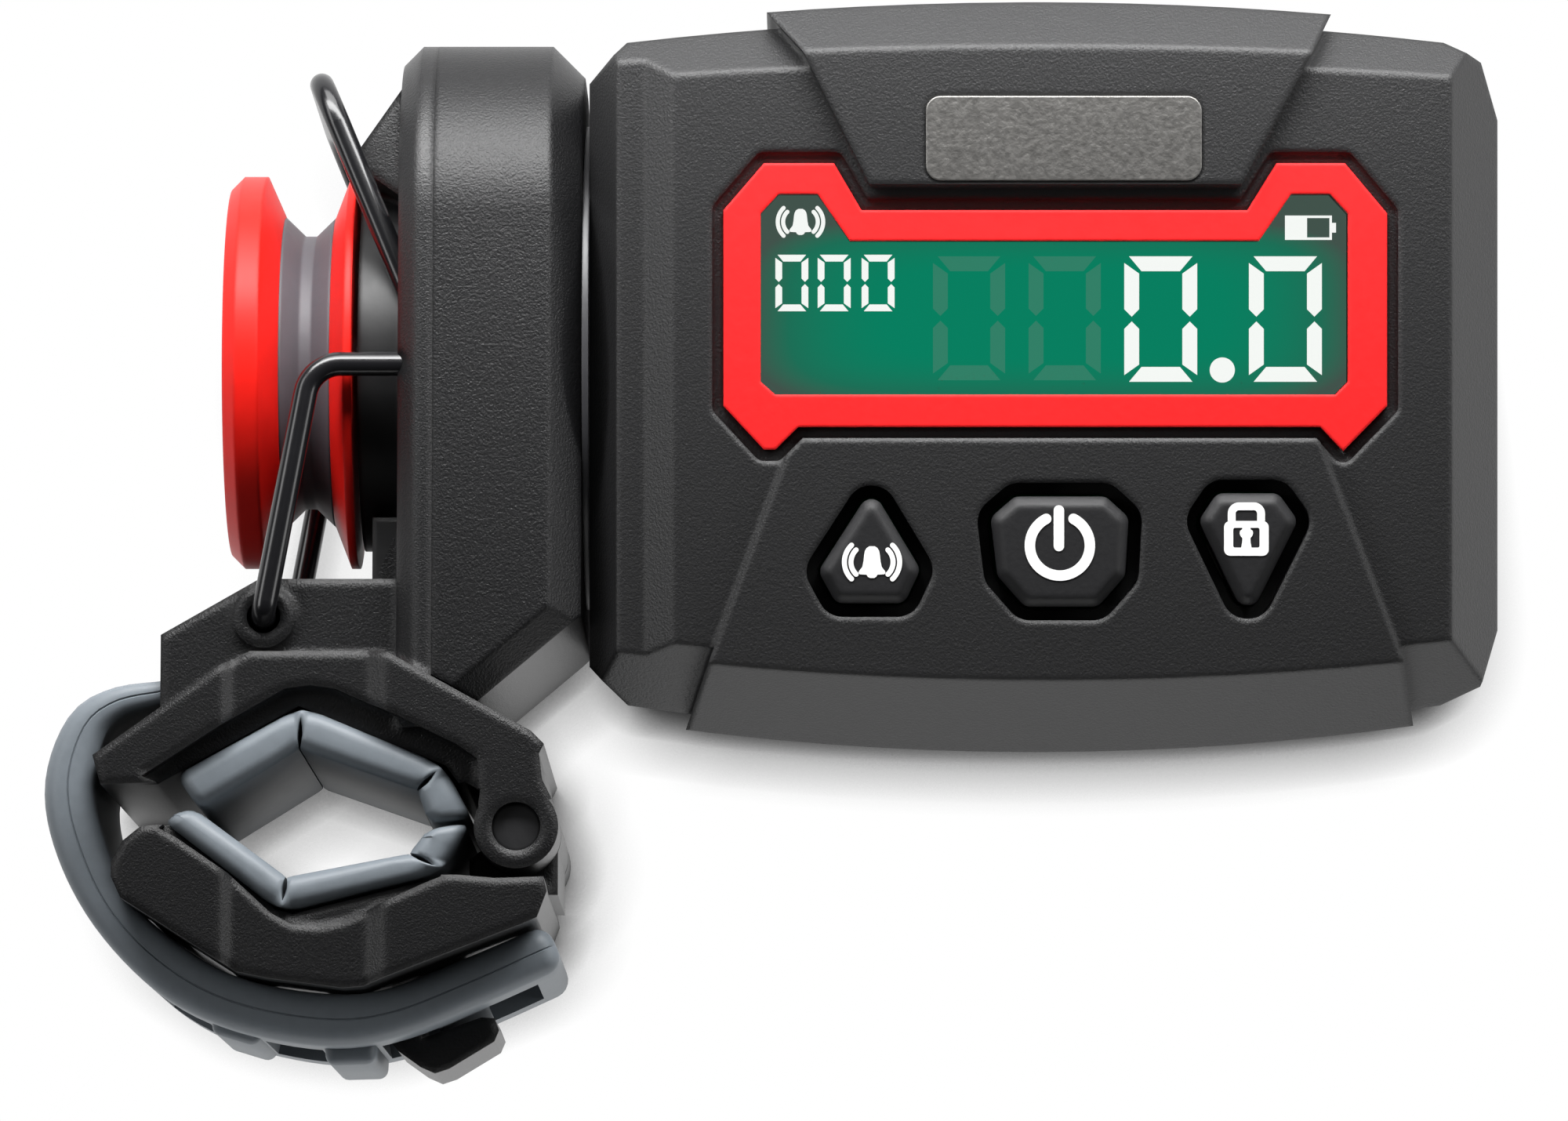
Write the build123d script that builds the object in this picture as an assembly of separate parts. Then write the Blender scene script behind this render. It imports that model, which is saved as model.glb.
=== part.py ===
"""Fishing line counter that clamps on a rod.

The rod runs along Y through the origin. A measuring wheel turns on the left side of a round-topped
pod, a hinged lower jaw with a rubber strap closes the clamp under it, and the display head turns on
a hollow swivel on the pod's right side. All lengths are in millimetres.
"""
from build123d import *
from math import radians, sin, cos, pi
import os

# Driving dimensions
GRIP = 10.0                 # rod axis to the outer corner of the rubber pads
SWIVEL_HEIGHT = 29.4        # rod axis to swivel axis
WHEEL_DROP = 0.3            # wheel axis below swivel axis
FLANGE_RADIUS = 12.5        # outer radius of the measuring wheel
CELL_RADIUS = 5.2
CELL_LENGTH = 43.5
HEAD_TILT = 6.5             # degrees that the head is turned on its swivel
slot_share = 0.33           # half width of a screw's slot, of its shank
soft_share = 0.33           # rounding within a corner cut
tall_share = 1.3            # a corner cut's height, of its width
OVERRUN = 5.0               # how far a cutting tool passes a face
SEAT_GAP = 0.15             # clearance round a part that is dropped in
RUN_GAP = 0.05              # radial clearance of a running fit
WALL = 1.8

# Wires beside the wheel, and the depths that follow from them
WIRE_RADIUS = 0.75
WIRE_GAP = 0.55             # wheel to the lower wires
WIRE_COVER = 0.95           # pod material outside the lower wires
LOWER_WIRE_Y = FLANGE_RADIUS + WIRE_GAP + WIRE_RADIUS
POD_HALF_DEPTH = LOWER_WIRE_Y + WIRE_RADIUS + WIRE_COVER

# Clamp
JAW_OVERHANG = 0.5          # jaws past the pod, on each side
JAW_HALF_DEPTH = POD_HALF_DEPTH + JAW_OVERHANG
LIP_DEPTH = 1.7
RECESS_DEPTH = 0.7
PAD_SET_BACK = 1.0
PAD_HALF_DEPTH = JAW_HALF_DEPTH - PAD_SET_BACK
SADDLE_SET_BACK = 3.5
SADDLE_HALF_DEPTH = JAW_HALF_DEPTH - SADDLE_SET_BACK
SADDLE_SHOULDER = 3.5       # left edge of the saddle below its top
WHEEL_CLEARANCE = 2.1       # wheel to the saddle
HINGE_X = 13.6
HINGE_Z = -1.2
HINGE_BOSS_RADIUS = 2.6
HINGE_PIN_RADIUS = 1.5
HINGE_PIN_SET_BACK = 0.6
KNUCKLE_HALF_DEPTH = 8.8
KNUCKLE_GAP = 0.3
KNUCKLE_WEB_HALF = 2.4
JAW_EDGE = 0.6
NOTCH_HALF = 0.35
NOTCH_DEPTH = 1.5

# Strap
STRAP_INSET = 0.5           # strap inside the saddle's sides
STRAP_HALF_WIDTH = SADDLE_HALF_DEPTH - STRAP_INSET
STRAP_TONGUE_HALF_WIDTH = 8.5
STRAP_BULB_RADIUS = 1.35
STRAP_SLOT_LENGTH = 3.4
STRAP_SLOT_HALF_WIDTH = 7.0
STRAP_SLOT_PITCH = 6.7
STRAP_SLOT_COUNT = 5
STRAP_END_MARGIN = 3.7
STRAP_LUG_COUNT = 2
STRAP_LUG_HEIGHT = 1.0
STRAP_LUG_HALF_WIDTH = 9.0
HOOK_HALF_WIDTH = 6.5

# Pod
POD_LEFT = 6.1
POD_SEAM = 8.3
POD_RIGHT = 17.5
POD_RISE = 20.0             # swivel axis to the top of the pod
POD_CORNER_RADIUS = 12.0
POD_WALL = 2.0
POD_LEFT_CHAMFER = 1.2
POD_RIGHT_CHAMFER = 2.0
POD_BEVEL = 1.6
POD_CAVITY_FLOOR = 15.0
GASKET_THICKNESS = 0.4
GASKET_WIDTH = 0.9
BOSS_GAP = 0.35             # wheel to the boss
BOSS_INSET = 1.1            # boss inside the wheel's rim
BOSS_RADIUS = FLANGE_RADIUS - BOSS_INSET
FOOT_HALF_DEPTH = 7.0       # rib from the boss down to the saddle
FOOT_INSET = 0.8
BOSS_WALL = 1.3
BOSS_HUB_RADIUS = 3.4
GUARD_HALF_DEPTH = 8.0
GUARD_FLARE = 0.5
GUARD_RISE = 0.8            # guard's left edge above the wheel
GUARD_LIP = 1.4
GUARD_DROP = 1.9
GUARD_TOP = 3.3             # below the top of the pod
POD_SCREW_RADIUS = 1.1
POD_SCREW_HEAD_RADIUS = 2.0
POD_SCREW_HEAD_LENGTH = 1.3
POD_SCREW_LENGTH = 7.0
POD_SCREW_POST_RADIUS = 2.3
POD_SCREW_SOCKET_RADIUS = 0.9
POD_SCREW_INSET = 4.1
POD_SCREW_Y = POD_HALF_DEPTH - POD_SCREW_INSET
POD_SCREW_UPPER_RISE = 10.5
POD_SCREW_LOWER_DROP = 13.0

# Measuring wheel
RIM_BEVEL = 0.8
WHEEL_LEFT = -5.0
TYRE_SEAT_RADIUS = 7.0
TYRE_DEPTH = 2.9            # seat to the shoulders
TYRE_GROOVE = 1.2
TYRE_SHOULDER_RADIUS = TYRE_SEAT_RADIUS + TYRE_DEPTH
TYRE_ROOT_RADIUS = TYRE_SHOULDER_RADIUS - TYRE_GROOVE
RIM_CONE = 1.15             # slope of a rim beside the tyre
INNER_RIM = 0.5
TYRE_HALF_WIDTH = 1.6
TYRE_ROOT_HALF_WIDTH = 0.36
WHEEL_RIGHT = 3.1
MAGNET_COVER = 0.1          # plastic between the magnets and the tyre
MAGNET_LENGTH = WHEEL_RIGHT - TYRE_HALF_WIDTH - MAGNET_COVER
BOSS_LEFT = WHEEL_RIGHT + BOSS_GAP
WHEEL_HUB_RADIUS = 4.0
WHEEL_FACE_DISH = 1.2
AXLE_RADIUS = 1.5
AXLE_HEAD_RADIUS = 2.6
AXLE_HEAD_LENGTH = 1.0
BUSH_RADIUS = 2.3
BUSH_FLANGE_RADIUS = 3.2
CLIP_RADIUS = 2.9
CLIP_THICKNESS = 0.5
HUB_CAP_RADIUS = 4.2
HUB_CAP_THICKNESS = 0.8
MAGNET_RADIUS = 1.5
MAGNET_INSET = 1.2
MAGNET_CIRCLE = TYRE_SEAT_RADIUS - MAGNET_INSET
MAGNET_COUNT = 2
WHEEL_SCREW_RADIUS = 0.7
WHEEL_SCREW_HEAD_RADIUS = 1.3
WHEEL_SCREW_HEAD_LENGTH = 0.7
WHEEL_SCREW_LENGTH = 4.4
WHEEL_SCREW_COUNT = 3

# Sensor board in the pod
BOARD_THICKNESS = 1.0
SENSOR_LENGTH = 2.6
SENSOR_WIDTH = 3.0
SENSOR_HEIGHT = 0.9
SENSOR_GAP = 0.1            # sensors to the boss's front wall
SENSOR_BOARD_LEFT = BOSS_LEFT + BOSS_WALL + SENSOR_GAP + SENSOR_HEIGHT
SENSOR_SPREAD = 22.5        # degrees each side of the vertical

# Wire line guides
WIRE_SOCKET_DEPTH = 1.4
LOWER_WIRE_DROP = 1.3       # below the wheel's axis
LOWER_WIRE_BEND_X = 0.7
EYELET_X = -2.2
EYELET_DROP = 2.4           # below the top of the saddle
EYELET_OUTER_RADIUS = 1.95
EYELET_HOLE_RADIUS = 1.05
EYELET_PROUD = LOWER_WIRE_Y - WIRE_RADIUS - RUN_GAP - SADDLE_HALF_DEPTH
EYELET_DEPTH = 3.0
WIRE_BEND_RADIUS = 2.2
WIRE_TAIL = 1.8
UPPER_WIRE_INSET = 1.0      # legs inside the wheel's rim, seen along the wheel's axis
UPPER_WIRE_Y = FLANGE_RADIUS - UPPER_WIRE_INSET
UPPER_WIRE_ROOT_RISE = 4.8  # where a leg enters the pod, above the wheel's axis
UPPER_WIRE_TOP_X = 1.0
UPPER_WIRE_TOP_RISE = 17.1
UPPER_WIRE_BEND_RADIUS = 3.0

# Swivel
HUB_RADIUS = 6.0
HUB_BORE_RADIUS = 3.0
HUB_FLANGE_RADIUS = 9.0
HUB_FLANGE_THICKNESS = 1.6
DISC_INSET = 0.1
SWIVEL_DISC_RADIUS = POD_HALF_DEPTH - DISC_INSET
HEAD_GAP = 0.45
RETAINER_RADIUS = 9.2
RETAINER_THICKNESS = 1.4
DETENT_SPRING_THICKNESS = 0.9
SEAL_RADIUS = 7.4
SEAL_LENGTH = 1.0
CABLE_RADIUS = 1.1
CABLE_BEND_RADIUS = 4.5

# Head
HEAD_LEFT = POD_RIGHT + HEAD_GAP
HEAD_SPARE = 13.2           # head's width besides the cells
HEAD_RIGHT = HEAD_LEFT + CELL_LENGTH + HEAD_SPARE
HEAD_FRONT = 17.0           # swivel axis to the display face
HEAD_TOP = 21.4
HEAD_BOTTOM = -23.2
HEAD_WALL = WALL
BAND_PROUD = 1.0
CORNER_CUT = 2.4
CORNER_CUT_RIGHT = 3.6
TOP_BOW = 1.5               # how much lower the top edge is at the head's ends
BOTTOM_BOW = 1.9
CREASE_BOW = 2.6
FACE_TOP = 18.5             # crease between the face and the top bevel, mid width
FACE_BOTTOM = -18.6
TOP_LEAN = 42.0             # degrees of the top bevel from the line of sight
BOTTOM_LEAN = 38.0
RIM_SET_BACK = 1.2
RIM_WIDTH = 3.5
SLOPE_WIDTH = 1.8
RIM_INNER_X = HEAD_LEFT + RIM_WIDTH
FACE_LEFT = RIM_INNER_X + SLOPE_WIDTH
RIGHT_BEVEL = 3.3
FACE_RIGHT = HEAD_RIGHT - RIGHT_BEVEL
LEFT_CHAMFER_DEPTH = 4.5
RIGHT_CHAMFER_DEPTH = 5.5
BACK_CHAMFER = 3.5
SPLIT_Y = 1.0               # joint plane between the two covers

# Display
FACE_MARGIN = 3.55          # face beside the bezel
BEZEL_SHIFT = -0.44
BEZEL_X = (FACE_LEFT + FACE_RIGHT) / 2 + BEZEL_SHIFT
BEZEL_Z = 3.45
BEZEL_HALF_WIDTH = (FACE_RIGHT - FACE_LEFT) / 2 - FACE_MARGIN
BEZEL_HALF_HEIGHT = 8.85
BEZEL_PROUD = 0.2
BEZEL_THICKNESS = 1.1
BEZEL_MOAT = 0.7
BEZEL_MOAT_DEPTH = 0.5
WINDOW_THICKNESS = 0.8
WINDOW_SET_BACK = 0.35
LCD_MARGIN = 1.6
LCD_LEFT = BEZEL_X - BEZEL_HALF_WIDTH + LCD_MARGIN
LCD_RIGHT = BEZEL_X + BEZEL_HALF_WIDTH - LCD_MARGIN
LCD_TOP_MARGIN = 1.3
LCD_BOTTOM_MARGIN = 2.8
LCD_TOP = BEZEL_Z + BEZEL_HALF_HEIGHT - LCD_TOP_MARGIN
LCD_BOTTOM = BEZEL_Z - BEZEL_HALF_HEIGHT + LCD_BOTTOM_MARGIN
LCD_THICKNESS = 1.8
SEGMENT_THICKNESS = 0.08
BACKLIGHT_THICKNESS = 1.4
BADGE_SHIFT = 0.5
BADGE_X = BEZEL_X + BADGE_SHIFT
BADGE_Z = 13.8
BADGE_HALF_WIDTH = 8.5
BADGE_HALF_HEIGHT = 2.6
BADGE_CORNER = 0.9
BADGE_THICKNESS = 0.7
BADGE_RECESS = 0.55

# Keys
KEY_PROUD = 0.5
KEY_BEVEL = 0.55
KEY_CORNER = 0.75
KEY_TRAVEL = 0.8
KEY_SLEEVE_GAP = 0.85
KEY_FOOT_RADIUS = 1.4
key_pitch_share = 0.568     # of the bezel's half width
KEY_PITCH = BEZEL_HALF_WIDTH * key_pitch_share
KEY_SHIFT = 0.2
POWER_X = BEZEL_X + KEY_SHIFT
ALARM_X = POWER_X - KEY_PITCH
LOCK_X = POWER_X + KEY_PITCH
ALARM_Z = -11.9
ALARM_HALF_WIDTH = 3.2
ALARM_HALF_HEIGHT = 3.6
POWER_Z = -11.7
POWER_HALF_WIDTH = 4.3
POWER_HALF_HEIGHT = 3.4
LOCK_Z = -11.5
LOCK_HALF_WIDTH = 3.1
LOCK_HALF_HEIGHT = 3.5
SYMBOL_THICKNESS = 0.1
MAT_THICKNESS = 0.8
MAT_MARGIN = 2.4
DOME_RADIUS = 2.2
DOME_HEIGHT = 0.5

# Main board
BOARD_FRONT = 10.4          # swivel axis to the board's front face
BOARD_LEFT_GAP = 7.05
BOARD_RIGHT_GAP = 6.4
BOARD_LEFT = HEAD_LEFT + BOARD_LEFT_GAP
BOARD_RIGHT = HEAD_RIGHT - BOARD_RIGHT_GAP
BOARD_TOP = 15.5
BOARD_BOTTOM = -16.2
BOARD_SCREW_RADIUS = 0.9
BOARD_SCREW_HEAD_RADIUS = 1.6
BOARD_SCREW_HEAD_LENGTH = 0.9
BOARD_SCREW_INSET = 2.2
BOARD_SCREW_LENGTH = 3.0
BOARD_POST_RADIUS = 1.7
BUZZER_RADIUS = 4.5
BUZZER_HEIGHT = 3.0
BUZZER_SHIFT = 9.5
BUZZER_X = BOARD_LEFT + BUZZER_SHIFT
BUZZER_Z = -9.3
CHIP_SIZE = 7.0
CHIP_HEIGHT = 1.2

# Batteries
CELL_NUB_RADIUS = 1.9
CELL_NUB_LENGTH = 1.0
CELL_GAP = 1.0
CELL_SPACING = 2 * CELL_RADIUS + CELL_GAP
TRAY_WALL = 1.0
CABLE_CLEARANCE = 0.65
CELL_Y = CABLE_RADIUS + CABLE_CLEARANCE + TRAY_WALL + SEAT_GAP + CELL_RADIUS
CONTACT_THICKNESS = 0.4
CONTACT_INSET = 1.4
CONTACT_HALF_SIZE = CELL_RADIUS - CONTACT_INSET
SPRING_LENGTH = 1.1
TRAY_LEFT_GAP = 4.5
TRAY_LEFT = HEAD_LEFT + TRAY_LEFT_GAP
TRAY_RIGHT = TRAY_LEFT + 2 * TRAY_WALL + 2 * CONTACT_THICKNESS + SPRING_LENGTH + CELL_LENGTH + CELL_NUB_LENGTH
TRAY_MIDDLE = (TRAY_LEFT + TRAY_RIGHT) / 2
SPRING_RADIUS = 3.2
SPRING_TIP_RADIUS = 1.6
DOOR_THICKNESS = 1.6
DOOR_MARGIN = 0.3
DOOR_CORNER = 3.0
DOOR_LAP = 0.4              # door past the tray, at each end
DOOR_HALF_WIDTH = (TRAY_RIGHT - TRAY_LEFT) / 2 + DOOR_LAP
DOOR_LEDGE = 1.4
DOOR_SEAT = 2.0             # width of the ledge that the door rests on
CELL_HALF_HEIGHT = CELL_SPACING / 2 + CELL_RADIUS
DOOR_TOP_LAP = 2.5
DOOR_TOP = CELL_HALF_HEIGHT + DOOR_TOP_LAP
CELL_BACK_GAP = 0.6
HEAD_BACK = CELL_Y + CELL_RADIUS + CELL_BACK_GAP + DOOR_THICKNESS
DOOR_SCREW_RADIUS = 1.2
DOOR_SCREW_HEAD_RADIUS = 2.3
DOOR_SCREW_LENGTH = 6.5
DOOR_SCREW_DROP = 2.5
DOOR_SCREW_Z = -CELL_HALF_HEIGHT - DOOR_SCREW_DROP
DOOR_BOTTOM_LAP = 0.3
DOOR_BOTTOM = DOOR_SCREW_Z - DOOR_SCREW_HEAD_RADIUS - DOOR_BOTTOM_LAP
COIN_SLOT = 0.9
COVER_SCREW_RADIUS = 1.1
COVER_SCREW_HEAD_RADIUS = 2.0
COVER_SCREW_HEAD_LENGTH = 1.5
COVER_SCREW_LENGTH = 16.0
COVER_SCREW_POST_RADIUS = 2.2
COVER_SCREW_INSET_X = 4.2
COVER_SCREW_TOP = 16.9
COVER_SCREW_BOTTOM = -18.8

HEAD_MIDDLE = (HEAD_LEFT + HEAD_RIGHT) / 2
WHEEL_Z = SWIVEL_HEIGHT - WHEEL_DROP
POD_TOP = SWIVEL_HEIGHT + POD_RISE
SADDLE_TOP = WHEEL_Z - FLANGE_RADIUS - WHEEL_CLEARANCE
EYELET_Z = SADDLE_TOP - EYELET_DROP
LOWER_WIRE_Z = WHEEL_Z - LOWER_WIRE_DROP
UPPER_WIRE_ROOT_Z = WHEEL_Z + UPPER_WIRE_ROOT_RISE
UPPER_WIRE_TOP_Z = WHEEL_Z + UPPER_WIRE_TOP_RISE
parts = {}


# Shapes that the rest is built from
def scaled(shares, size_x, size_z, x=0, z=0):
    """Points of an outline given as shares of two sizes about a centre."""
    return [(x + size_x * a, z + size_z * b) for a, b in shares]


def outline(points, radius):
    if radius:
        return make_face(FilletPolyline(*points, radius=radius, close=True))
    return make_face(Polyline(*points, close=True))


def prism_xz(points, y0, y1, radius=0):
    face = outline([(x, y0, z) for x, z in points], radius)
    return extrude(face, amount=y1 - y0, dir=(0, 1, 0))


def prism_yz(points, x0, x1, radius=0):
    face = outline([(x0, y, z) for y, z in points], radius)
    return extrude(face, amount=x1 - x0, dir=(1, 0, 0))


def prism_xy(points, z0, z1, radius=0):
    face = outline([(x, y, z0) for x, y in points], radius)
    return extrude(face, amount=z1 - z0, dir=(0, 0, 1))


def block(x0, x1, y0, y1, z0, z1):
    box = Box(x1 - x0, y1 - y0, z1 - z0, align=(Align.MIN, Align.MIN, Align.MIN))
    return Pos(x0, y0, z0) * box


def rod_x(radius, x0, x1, y=0, z=0):
    shape = Cylinder(radius, x1 - x0, align=(Align.CENTER, Align.CENTER, Align.MIN))
    return Pos(x0, y, z) * Rot(0, 90, 0) * shape


def rod_y(radius, y0, y1, x=0, z=0):
    shape = Cylinder(radius, y1 - y0, align=(Align.CENTER, Align.CENTER, Align.MIN))
    return Pos(x, y0, z) * Rot(-90, 0, 0) * shape


def ring_x(outer, inner, x0, x1, y=0, z=0):
    return rod_x(outer, x0, x1, y, z) - rod_x(inner, x0 - OVERRUN, x1 + OVERRUN, y, z)


def turned(points, axis_z):
    """Solid of revolution about an X axis, from points of x and radius."""
    face = make_face(Polyline(*[(x, 0, axis_z + r) for x, r in points], close=True))
    return revolve(face, axis=Axis((0, 0, axis_z), (1, 0, 0)))


def wire_tube(points, radius, bend_radius):
    path = FilletPolyline(*points, radius=bend_radius)
    section = Plane(origin=path @ 0, z_dir=path % 0) * Circle(radius)
    return sweep(section, path=path)


def grown(points, margin, y0, y1, radius=0):
    """Prism of an outline that is wider all round by a margin."""
    face = offset(outline([(x, y0, z) for x, z in points], radius), amount=margin)
    return extrude(face, amount=y1 - y0, dir=(0, 1, 0))


def soften(part, edges, length):
    return chamfer(edges, length) if edges else part


def fix_head(part):
    """Moves a piece from the head's own frame, with its origin on the swivel axis, into place."""
    return Pos(0, 0, SWIVEL_HEIGHT) * Rot(HEAD_TILT, 0, 0) * part


def keep(name, *solids):
    bodies = []
    for item in solids:
        bodies.extend(item.solids())
    parts[name] = bodies


# Clamp outlines, as shares of the grip
pad_upper_outer_shares = [(-0.73, 0.23), (0.01, 0.64), (0.92, 0.27), (1.0, 0.16), (1.04, -0.06)]
pad_upper_inner_shares = [(0.81, -0.09), (0.76, 0.13), (0.03, 0.37), (-0.55, 0.03), (-0.66, 0.07)]
pad_lower_outer_shares = [(1.03, -0.1), (0.99, -0.21), (0.9, -0.42), (-0.02, -0.65), (-0.13, -0.62),
                          (-0.78, -0.08)]
pad_lower_inner_shares = [(-0.7, -0.03), (-0.52, -0.05), (-0.06, -0.42), (0.73, -0.3), (0.81, -0.13)]
jaw_upper_outer_shares = [(-1.25, 0.32), (-1.22, 0.34), (-0.48, 0.87), (-0.29, 0.97), (0.51, 0.97),
                          (0.58, 0.95), (1.45, 0.47), (1.53, 0.39), (1.5, 0.33), (1.52, 0.17),
                          (1.58, 0.05)]
jaw_upper_neck_shares = [(1.12, -0.05), (1.14, 0.11)]
jaw_upper_seat_shares = [(1.04, 0.17), (1.0, 0.16), (0.92, 0.27), (0.01, 0.64), (-0.73, 0.23),
                         (-0.86, 0.155), (-1.2, 0.14)]
lip_upper_shares = [(1.13, -0.02), (1.12, 0.3), (0.99, 0.39), (0.62, 0.57), (0.23, 0.74), (0.08, 0.76),
                    (-0.07, 0.74), (-0.4, 0.55), (-0.95, 0.19), (-0.86, 0.155), (-0.73, 0.1),
                    (0.01, 0.5), (0.9, 0.1)]
jaw_lower_outer_shares = [(-1.13, -0.34), (-1.06, -0.21), (-0.95, -0.12), (-0.84, -0.11),
                          (-0.75, -0.105)]
jaw_lower_seat_shares = [(-0.13, -0.62), (-0.02, -0.65), (0.9, -0.42), (1.01, -0.42), (1.23, -0.44),
                         (1.53, -0.43)]
jaw_lower_base_shares = [(1.55, -0.52), (1.49, -0.68), (1.4, -0.72), (0.42, -1.1), (0.29, -1.11),
                         (-0.17, -1.05), (-0.36, -1.01), (-0.49, -0.93), (-1.07, -0.56), (-1.13, -0.43)]
lip_lower_shares = [(-0.84, -0.13), (-0.73, -0.19), (-0.41, -0.41), (-0.15, -0.65), (-0.02, -0.72),
                    (0.15, -0.73), (0.3, -0.7), (0.48, -0.62), (0.58, -0.57), (0.8, -0.47), (0.9, -0.43),
                    (0.9, -0.3), (0, -0.5), (-0.7, -0.02)]
saddle_foot_shares = [(0.83, 0.7), (-0.3, 0.9), (-0.48, 0.8), (-0.86, 0.5)]
saddle_left_share = -0.86
pod_foot_share = (1.12, 0.68)
pod_foot_right_share = 1.21
jaw_slope_shares = [(1.45, 0.47), (0.58, 0.95)]
saddle_corner_share = -0.25
saddle_foot_share = 0.5
recess_shares = (-0.46, -0.39, 0.44, 0.55)
notch_shares = [(0.03, 0.37, 92), (0.76, 0.13, 40), (-0.06, -0.42, -100), (0.73, -0.3, -35)]

# Strap centre line and thickness, as shares of the grip
strap_shares = [(-0.84, 0.755, 0.14), (-1.14, 0.69, 0.19), (-1.335, 0.53, 0.26), (-1.435, 0.17, 0.3),
                (-1.365, -0.22, 0.29), (-1.175, -0.65, 0.22), (-0.775, -0.985, 0.32), (-0.36, -1.19, 0.32),
                (0.18, -1.285, 0.33), (0.59, -1.24, 0.31), (1.09, -1.055, 0.29), (1.6, -0.83, 0.28)]
strap_tongue_shares = (-0.55, 0.775)
web_shares = [(1.05, -0.47), (1.05, -0.27), (1.14, -0.2), (1.3, -0.2), (1.3, -0.47)]
hook_shares = [(0.56, -0.98), (0.74, -0.9), (0.74, -1.375), (1.12, -1.24), (1.2, -1.245), (1.23, -1.32),
               (1.2, -1.39), (0.92, -1.56), (0.83, -1.59), (0.74, -1.55), (0.6, -1.45), (0.56, -1.4)]


def pads():
    upper = scaled(pad_upper_outer_shares + pad_upper_inner_shares, GRIP, GRIP)
    lower = scaled(pad_lower_outer_shares + pad_lower_inner_shares, GRIP, GRIP)
    upper_pad = prism_xz(upper, -PAD_HALF_DEPTH, PAD_HALF_DEPTH)
    lower_pad = prism_xz(lower, -PAD_HALF_DEPTH, PAD_HALF_DEPTH)
    for x_share, z_share, angle in notch_shares:
        reach = PAD_HALF_DEPTH + OVERRUN
        wedge = [(-NOTCH_DEPTH, -NOTCH_HALF), (NOTCH_DEPTH, 0), (-NOTCH_DEPTH, NOTCH_HALF)]
        notch = Pos(GRIP * x_share, 0, GRIP * z_share) * Rot(0, -angle, 0) * prism_xz(wedge, -reach, reach)
        upper_pad -= notch
        lower_pad -= notch
    keep("upper_jaw_pad", upper_pad)
    keep("lower_jaw_pad", lower_pad)


def lip_cut(shares):
    """Recess round the pads at both faces of a jaw."""
    points = scaled(shares, GRIP, GRIP)
    inner = JAW_HALF_DEPTH - LIP_DEPTH
    front = prism_xz(points, -JAW_HALF_DEPTH - OVERRUN, -inner)
    return front + prism_xz(points, inner, JAW_HALF_DEPTH + OVERRUN)


def pod_profile(inset=0, floor=0):
    """Side outline of the pod, with round top corners, less an inset."""
    half = POD_HALF_DEPTH - inset
    top = POD_TOP - inset
    radius = POD_CORNER_RADIUS - inset
    rise = top - radius
    turn = radius * (1 - cos(pi / 4))
    path = Polyline((0, -half, rise), (0, -half, floor), (0, half, floor), (0, half, rise))
    right = ThreePointArc((0, half, rise), (0, half - turn, top - turn), (0, half - radius, top))
    left = ThreePointArc((0, -half + radius, top), (0, -half + turn, top - turn), (0, -half, rise))
    return make_face([path, right, Line((0, half - radius, top), (0, -half + radius, top)), left])


def pod_prism(x0, x1, inset=0, floor=0):
    return Pos(x0, 0, 0) * extrude(pod_profile(inset, floor), amount=x1 - x0, dir=(1, 0, 0))


def pod_screw_places():
    upper = SWIVEL_HEIGHT + POD_SCREW_UPPER_RISE
    lower = SWIVEL_HEIGHT - POD_SCREW_LOWER_DROP
    return [(side * POD_SCREW_Y, z) for z in (upper, lower) for side in (1, -1)]


def face_recess(low_share, high_share):
    """Shallow recess with sloped ends across the middle of a jaw's front and rear faces."""
    left, left_low, right_low, right = [GRIP * share for share in recess_shares]
    plan = [(left, JAW_HALF_DEPTH + OVERRUN), (left, JAW_HALF_DEPTH), (left_low, JAW_HALF_DEPTH - RECESS_DEPTH),
            (right_low, JAW_HALF_DEPTH - RECESS_DEPTH), (right, JAW_HALF_DEPTH), (right, JAW_HALF_DEPTH + OVERRUN)]
    front = [(x, -y) for x, y in plan]
    return prism_xy(plan, GRIP * low_share, GRIP * high_share) + prism_xy(front, GRIP * low_share, GRIP * high_share)


def jaw_arm():
    """Upper jaw, with the ears that carry the hinge pin."""
    points = jaw_upper_outer_shares + jaw_upper_neck_shares + jaw_upper_seat_shares
    arm = prism_xz(scaled(points, GRIP, GRIP), -JAW_HALF_DEPTH, JAW_HALF_DEPTH)
    arm -= lip_cut(lip_upper_shares)
    arm -= face_recess(0, 2)
    ear_start = KNUCKLE_HALF_DEPTH + KNUCKLE_GAP
    for y0, y1 in ((-JAW_HALF_DEPTH, -ear_start), (ear_start, JAW_HALF_DEPTH)):
        arm += rod_y(HINGE_BOSS_RADIUS, y0, y1, HINGE_X, HINGE_Z)
    arm -= rod_y(HINGE_BOSS_RADIUS + KNUCKLE_GAP, -ear_start, ear_start, HINGE_X, HINGE_Z)
    return arm - rod_y(HINGE_PIN_RADIUS, -JAW_HALF_DEPTH - OVERRUN, JAW_HALF_DEPTH + OVERRUN,
                       HINGE_X, HINGE_Z)


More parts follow.
